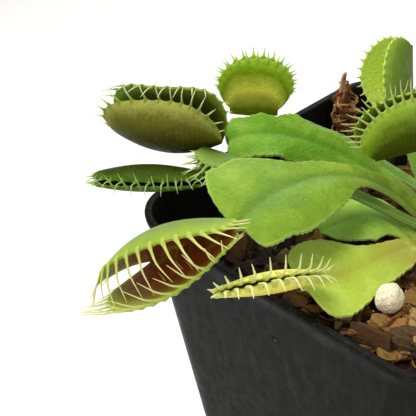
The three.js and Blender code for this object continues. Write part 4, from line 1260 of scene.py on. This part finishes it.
def stalk_look(name):
    base, end, midrib, patch = STALK_LOOKS[name].split()
    look = Look("leaf_" + name, base)
    across = look.maths("ABSOLUTE", look.y)
    look.paint(end, look.x + look.noise(7, 2, 3) * 0.5, 0.35, 0.85)
    look.paint(patch, look.noise(4.2, 3, 1, warp=0.5), 0.44, 0.66, 0.85)
    look.paint(midrib, look.noise(8, 3, 11, warp=0.4), 0.5, 0.68, 0.36)
    look.paint(midrib, look.noise(0.9, 4, 2), 0.5, 0.75, 0.4)
    look.paint(midrib, across + look.noise(2.5, 3, 5) * 0.2, 0.04, 0.5, 0.0, 0.6)
    skew = look.x * 21.0 + across * -3.0 + look.noise(2, 3, 7)
    veins = look.spread(look.maths("SINE", skew * 6.28), 0.5, 1.0)
    look.cover(patch, veins * 0.07)
    # Pale specks: painted glints on the leaf surface.
    look.dots("#d9dfb8", 1.5, 0.04, 0.1, look.spread(look.noise(5, 2, 9), 0.5, 0.62, 0.0, 0.6))
    look.dots("#7b5a34", 2.9, 0.05, 0.12, look.spread(look.noise(6, 2, 13), 0.56, 0.66, 0.0, 0.75))
    look.paint("#c6d67a", across, 0.93, 1.0, 0.28)
    look.paint("#a3b88a", look.z, 0.4, 0.6, 0.35)
    reliefs = [(veins * 0.1 + look.noise(0.6, 3, 4), 0.18), (look.cells(0.32), 0.03)]
    return look.finish(look.patchy(1.5, 3, 6, 0.36, 0.56), reliefs, LEAF_GLOSS, LEAF_FLESH)


def trap_look(name):
    """Look of a trap: both faces of its lobes, and its teeth."""
    outer, inner, teeth = (row.split() for row in TRAP_LOOKS[name])
    look = Look("lobes_" + name)
    height = look.y + (look.noise(2.2, 4, 1) + -0.5) * 0.26
    # For some traps this outside ramp holds painted light: a painted highlight by the rim of the left trap,
    # and a painted highlight band with painted shade below it on the upright trap.
    look.body = look.ramp(height, list(zip(OUTSIDE_PLACES, outer)))
    look.paint(outer[0], look.noise(2.6, 4, 2, warp=0.6), 0.5, 0.72, 0.4)
    outside = look.body
    look.body = look.ramp(height, list(zip(INSIDE_PLACES, inner)))
    look.paint(inner[2], look.noise(3.4, 4, 3, warp=0.8), 0.52, 0.68, 0.65)
    look.dots(inner[1], 0.4, 0.1, 0.26, look.spread(look.y, 0.78, 0.9, 0.5, 0.0))
    look.paint(outside, look.z, 0.4, 0.6)
    lines = look.maths("SINE", look.x * 190.0)
    look.paint(outer[3], lines, 0.3, 1.0, 0.05)
    # Pale specks: painted glints on the lobes, as on the stalks.
    look.dots("#dfe2b6", 1.1, 0.05, 0.12, look.spread(look.noise(4, 2, 8), 0.5, 0.6, 0.0, 0.45))
    look.paint(look.ramp(look.y, [(0.05, teeth[0]), (0.55, teeth[1])]), look.z, 1.4, 1.6)
    reliefs = [(lines * 0.04 + look.noise(0.6, 3, 5), 0.25), (look.cells(0.28), 0.04)]
    gloss = MATT_GLOSS if name in MATT_TRAPS else LEAF_GLOSS
    return look.finish(look.patchy(1.4, 3, 6, 0.34, 0.54), reliefs, gloss, LEAF_FLESH)


def pot_look():
    """Black plastic with scuffs and streaks, a smudge of debris, and dust, most of it by the rim."""
    look = Look("pot_plastic", "#141512")
    look.cover("#1c1d1a", look.noise(9, 3, 1))
    look.paint("#2c2d2a", look.noise(1.2, 4, 2, stretch=(1, 1, 0.25)), 0.58, 0.78, 0.25)
    look.paint("#282a26", look.noise(1.6, 3, 6, stretch=(1, 1, 0.03)), 0.45, 0.75, 0.6)
    smudge = look.distance(SMUDGE) + look.noise(0.5, 4, 8) * 2.4
    look.paint("#000000", smudge, 2.0, 2.6, 0.0, 1.0)
    look.paint("#5e5a50", smudge, 1.3, 1.6, 0.0, 0.8)
    look.dots("#9a8468", 0.8, 0.04, 0.14, look.spread(look.height(), RIM - 3.5, RIM - 0.3, 0.1, 0.5))
    roughness = look.patchy(2, 3, 4, 0.34, 0.5)
    return look.finish(roughness, [(look.noise(0.35, 4, 3), 0.05)], specular=0.04)


def soil_look():
    look = Look("dark_soil")
    look.body = look.ramp(look.noise(1.1, 5, 1), SOIL_STOPS)
    look.paint("#7a4e2c", look.noise(0.5, 3, 2), 0.6, 0.75, 0.5)
    return look.finish(0.92, [(look.noise(0.4, 5, 3), 0.5)], specular=0.2)


def bark_look(name, stops, speck):
    """Bark whose colour is drawn for each chip from a row of colours, with painted shade that darkens it
    lower down in the pot.
    """
    look = Look(name)
    look.body = look.ramp(look.x, stops)
    fibres = look.noise(0.7, 5, 1, stretch=(0.3, 1.3, 1.8), warp=0.3)
    look.paint("#20120a", fibres, 0.46, 0.7, 0.75)
    look.paint(speck, look.noise(0.4, 4, 2), 0.58, 0.74, 0.5)
    look.cover("#3a2014", look.y * 0.4)
    # Painted shade: bark turns near black lower down, where the sunken soil lies deep in the pot.
    look.paint("#140c06", look.height(), RIM - 6, RIM - 1.5, 0.0, 0.72)
    reliefs = [(fibres, 0.4), (look.noise(0.3, 4, 4), 0.12)]
    return look.finish(look.patchy(1, 2, 5, 0.7, 0.95), reliefs, specular=0.3)


def perlite_look():
    look = Look("perlite", "#fff2d0")
    look.paint("#dcc490", look.noise(1.2, 4, 1), 0.5, 0.75, 0.5)
    look.dots("#a08c70", 0.9, 0.04, 0.2, 0.5)
    reliefs = [(look.noise(0.3, 4, 2), 0.25), (look.cells(0.45), 0.25)]
    return look.finish(0.9, reliefs, specular=0.3, flesh=0.1)


def moss_look():
    look = Look("dried_moss")
    look.body = look.ramp(look.x, MOSS_STOPS)
    look.paint("#4a2c18", look.noise(0.6, 4, 1), 0.5, 0.7, 0.6)
    return look.finish(0.9, [(look.noise(0.25, 4, 2), 0.3)], specular=0.2)


def crown_look():
    look = Look("crown_flesh", "#d8cfae")
    look.paint("#a3b35c", look.height(), RIM - 4.5, RIM + 1)
    look.paint("#8c7448", look.noise(0.8, 4, 1), 0.5, 0.7, 0.6)
    return look.finish(0.5, [(look.noise(0.4, 4, 2), 0.3)], flesh=0.2)


def floor_look():
    look = Look("pale_floor", "#fcfcfc")
    look.cover("#ffffff", look.noise(60, 2, 1))
    return look.finish(0.8, [(look.noise(2, 2, 2), 0.02)], specular=0.1)


def lay_floor():
    half, low = GROUND_SIZE / 2 * MM, -GROUND_DROP * MM
    mesh = bpy.data.meshes.new("floor")
    corners = [(-half, -half, low), (half, -half, low), (half, half, low), (-half, half, low)]
    mesh.from_pydata(corners, [], [(0, 1, 2, 3)])
    mesh.materials.append(floor_look())
    put("floor", mesh)


def set_camera():
    data = bpy.data.cameras.new("camera")
    data.lens = CAMERA_LENS
    data.sensor_width = CAMERA_SENSOR
    data.sensor_fit = "HORIZONTAL"
    data.clip_start = 0.01
    data.clip_end = 20
    camera = put("camera", data)
    axes = Matrix((CAMERA_RIGHT, CAMERA_UP, CAMERA_BACK)).transposed()
    camera.matrix_world = Matrix.Translation(Vector(CAMERA_PLACE) * MM) @ axes.to_4x4()
    bpy.context.scene.camera = camera


def set_lights():
    for name, place, target, size, power, tone in LIGHTS:
        data = bpy.data.lights.new(name, "AREA")
        data.shape = "DISK"
        data.size = size * MM
        data.energy = power
        data.color = tone
        light = put(name, data)
        light.location = Vector(place) * MM
        aim = Vector(target) * MM - light.location
        light.rotation_euler = aim.to_track_quat("-Z", "Y").to_euler()
    bpy.context.scene.view_settings.view_transform = "Standard"
    world = bpy.data.worlds.new("studio")
    world.use_nodes = True
    back = world.node_tree.nodes["Background"]
    back.inputs["Color"].default_value = WORLD_COLOUR + (1.0,)
    back.inputs["Strength"].default_value = WORLD_STRENGTH
    bpy.context.scene.world = world


generator = np.random.default_rng(SEED)
surfaces = [stalk_piece(name, leaf, stalk_look(name)) for name, leaf in LEAVES.items()]
surfaces = [surface - [0, 0, RIB_THICKNESS] for surface in surfaces]
surfaces += [trap_piece(name, form, trap_look(name), generator) for name, form in TRAPS.items()]
ceiling = Ceiling(surfaces)

pot_shell(pot_look())
soil_bed(soil_look())
bark = bark_look("bark", CHIP_STOPS, "#a07c4c")
strewn("bark_chips", bark, ceiling, generator)
strewn("bark_crumbs", bark, ceiling, generator)
coir(bark_look("coir", FIBRE_STOPS, "#a88460"), ceiling, generator)
white = perlite_look()
for seed, (name, (at, size)) in enumerate(GRAINS.items()):
    grain(name, at, size, white, seed)
strewn("perlite_crumbs", white, ceiling, generator)
chunk(bark_look("bark_grey", CHUNK_STOPS, "#84704e"))
moss_tuft(moss_look(), generator)
crown_heart(crown_look())

lay_floor()
set_camera()
set_lights()
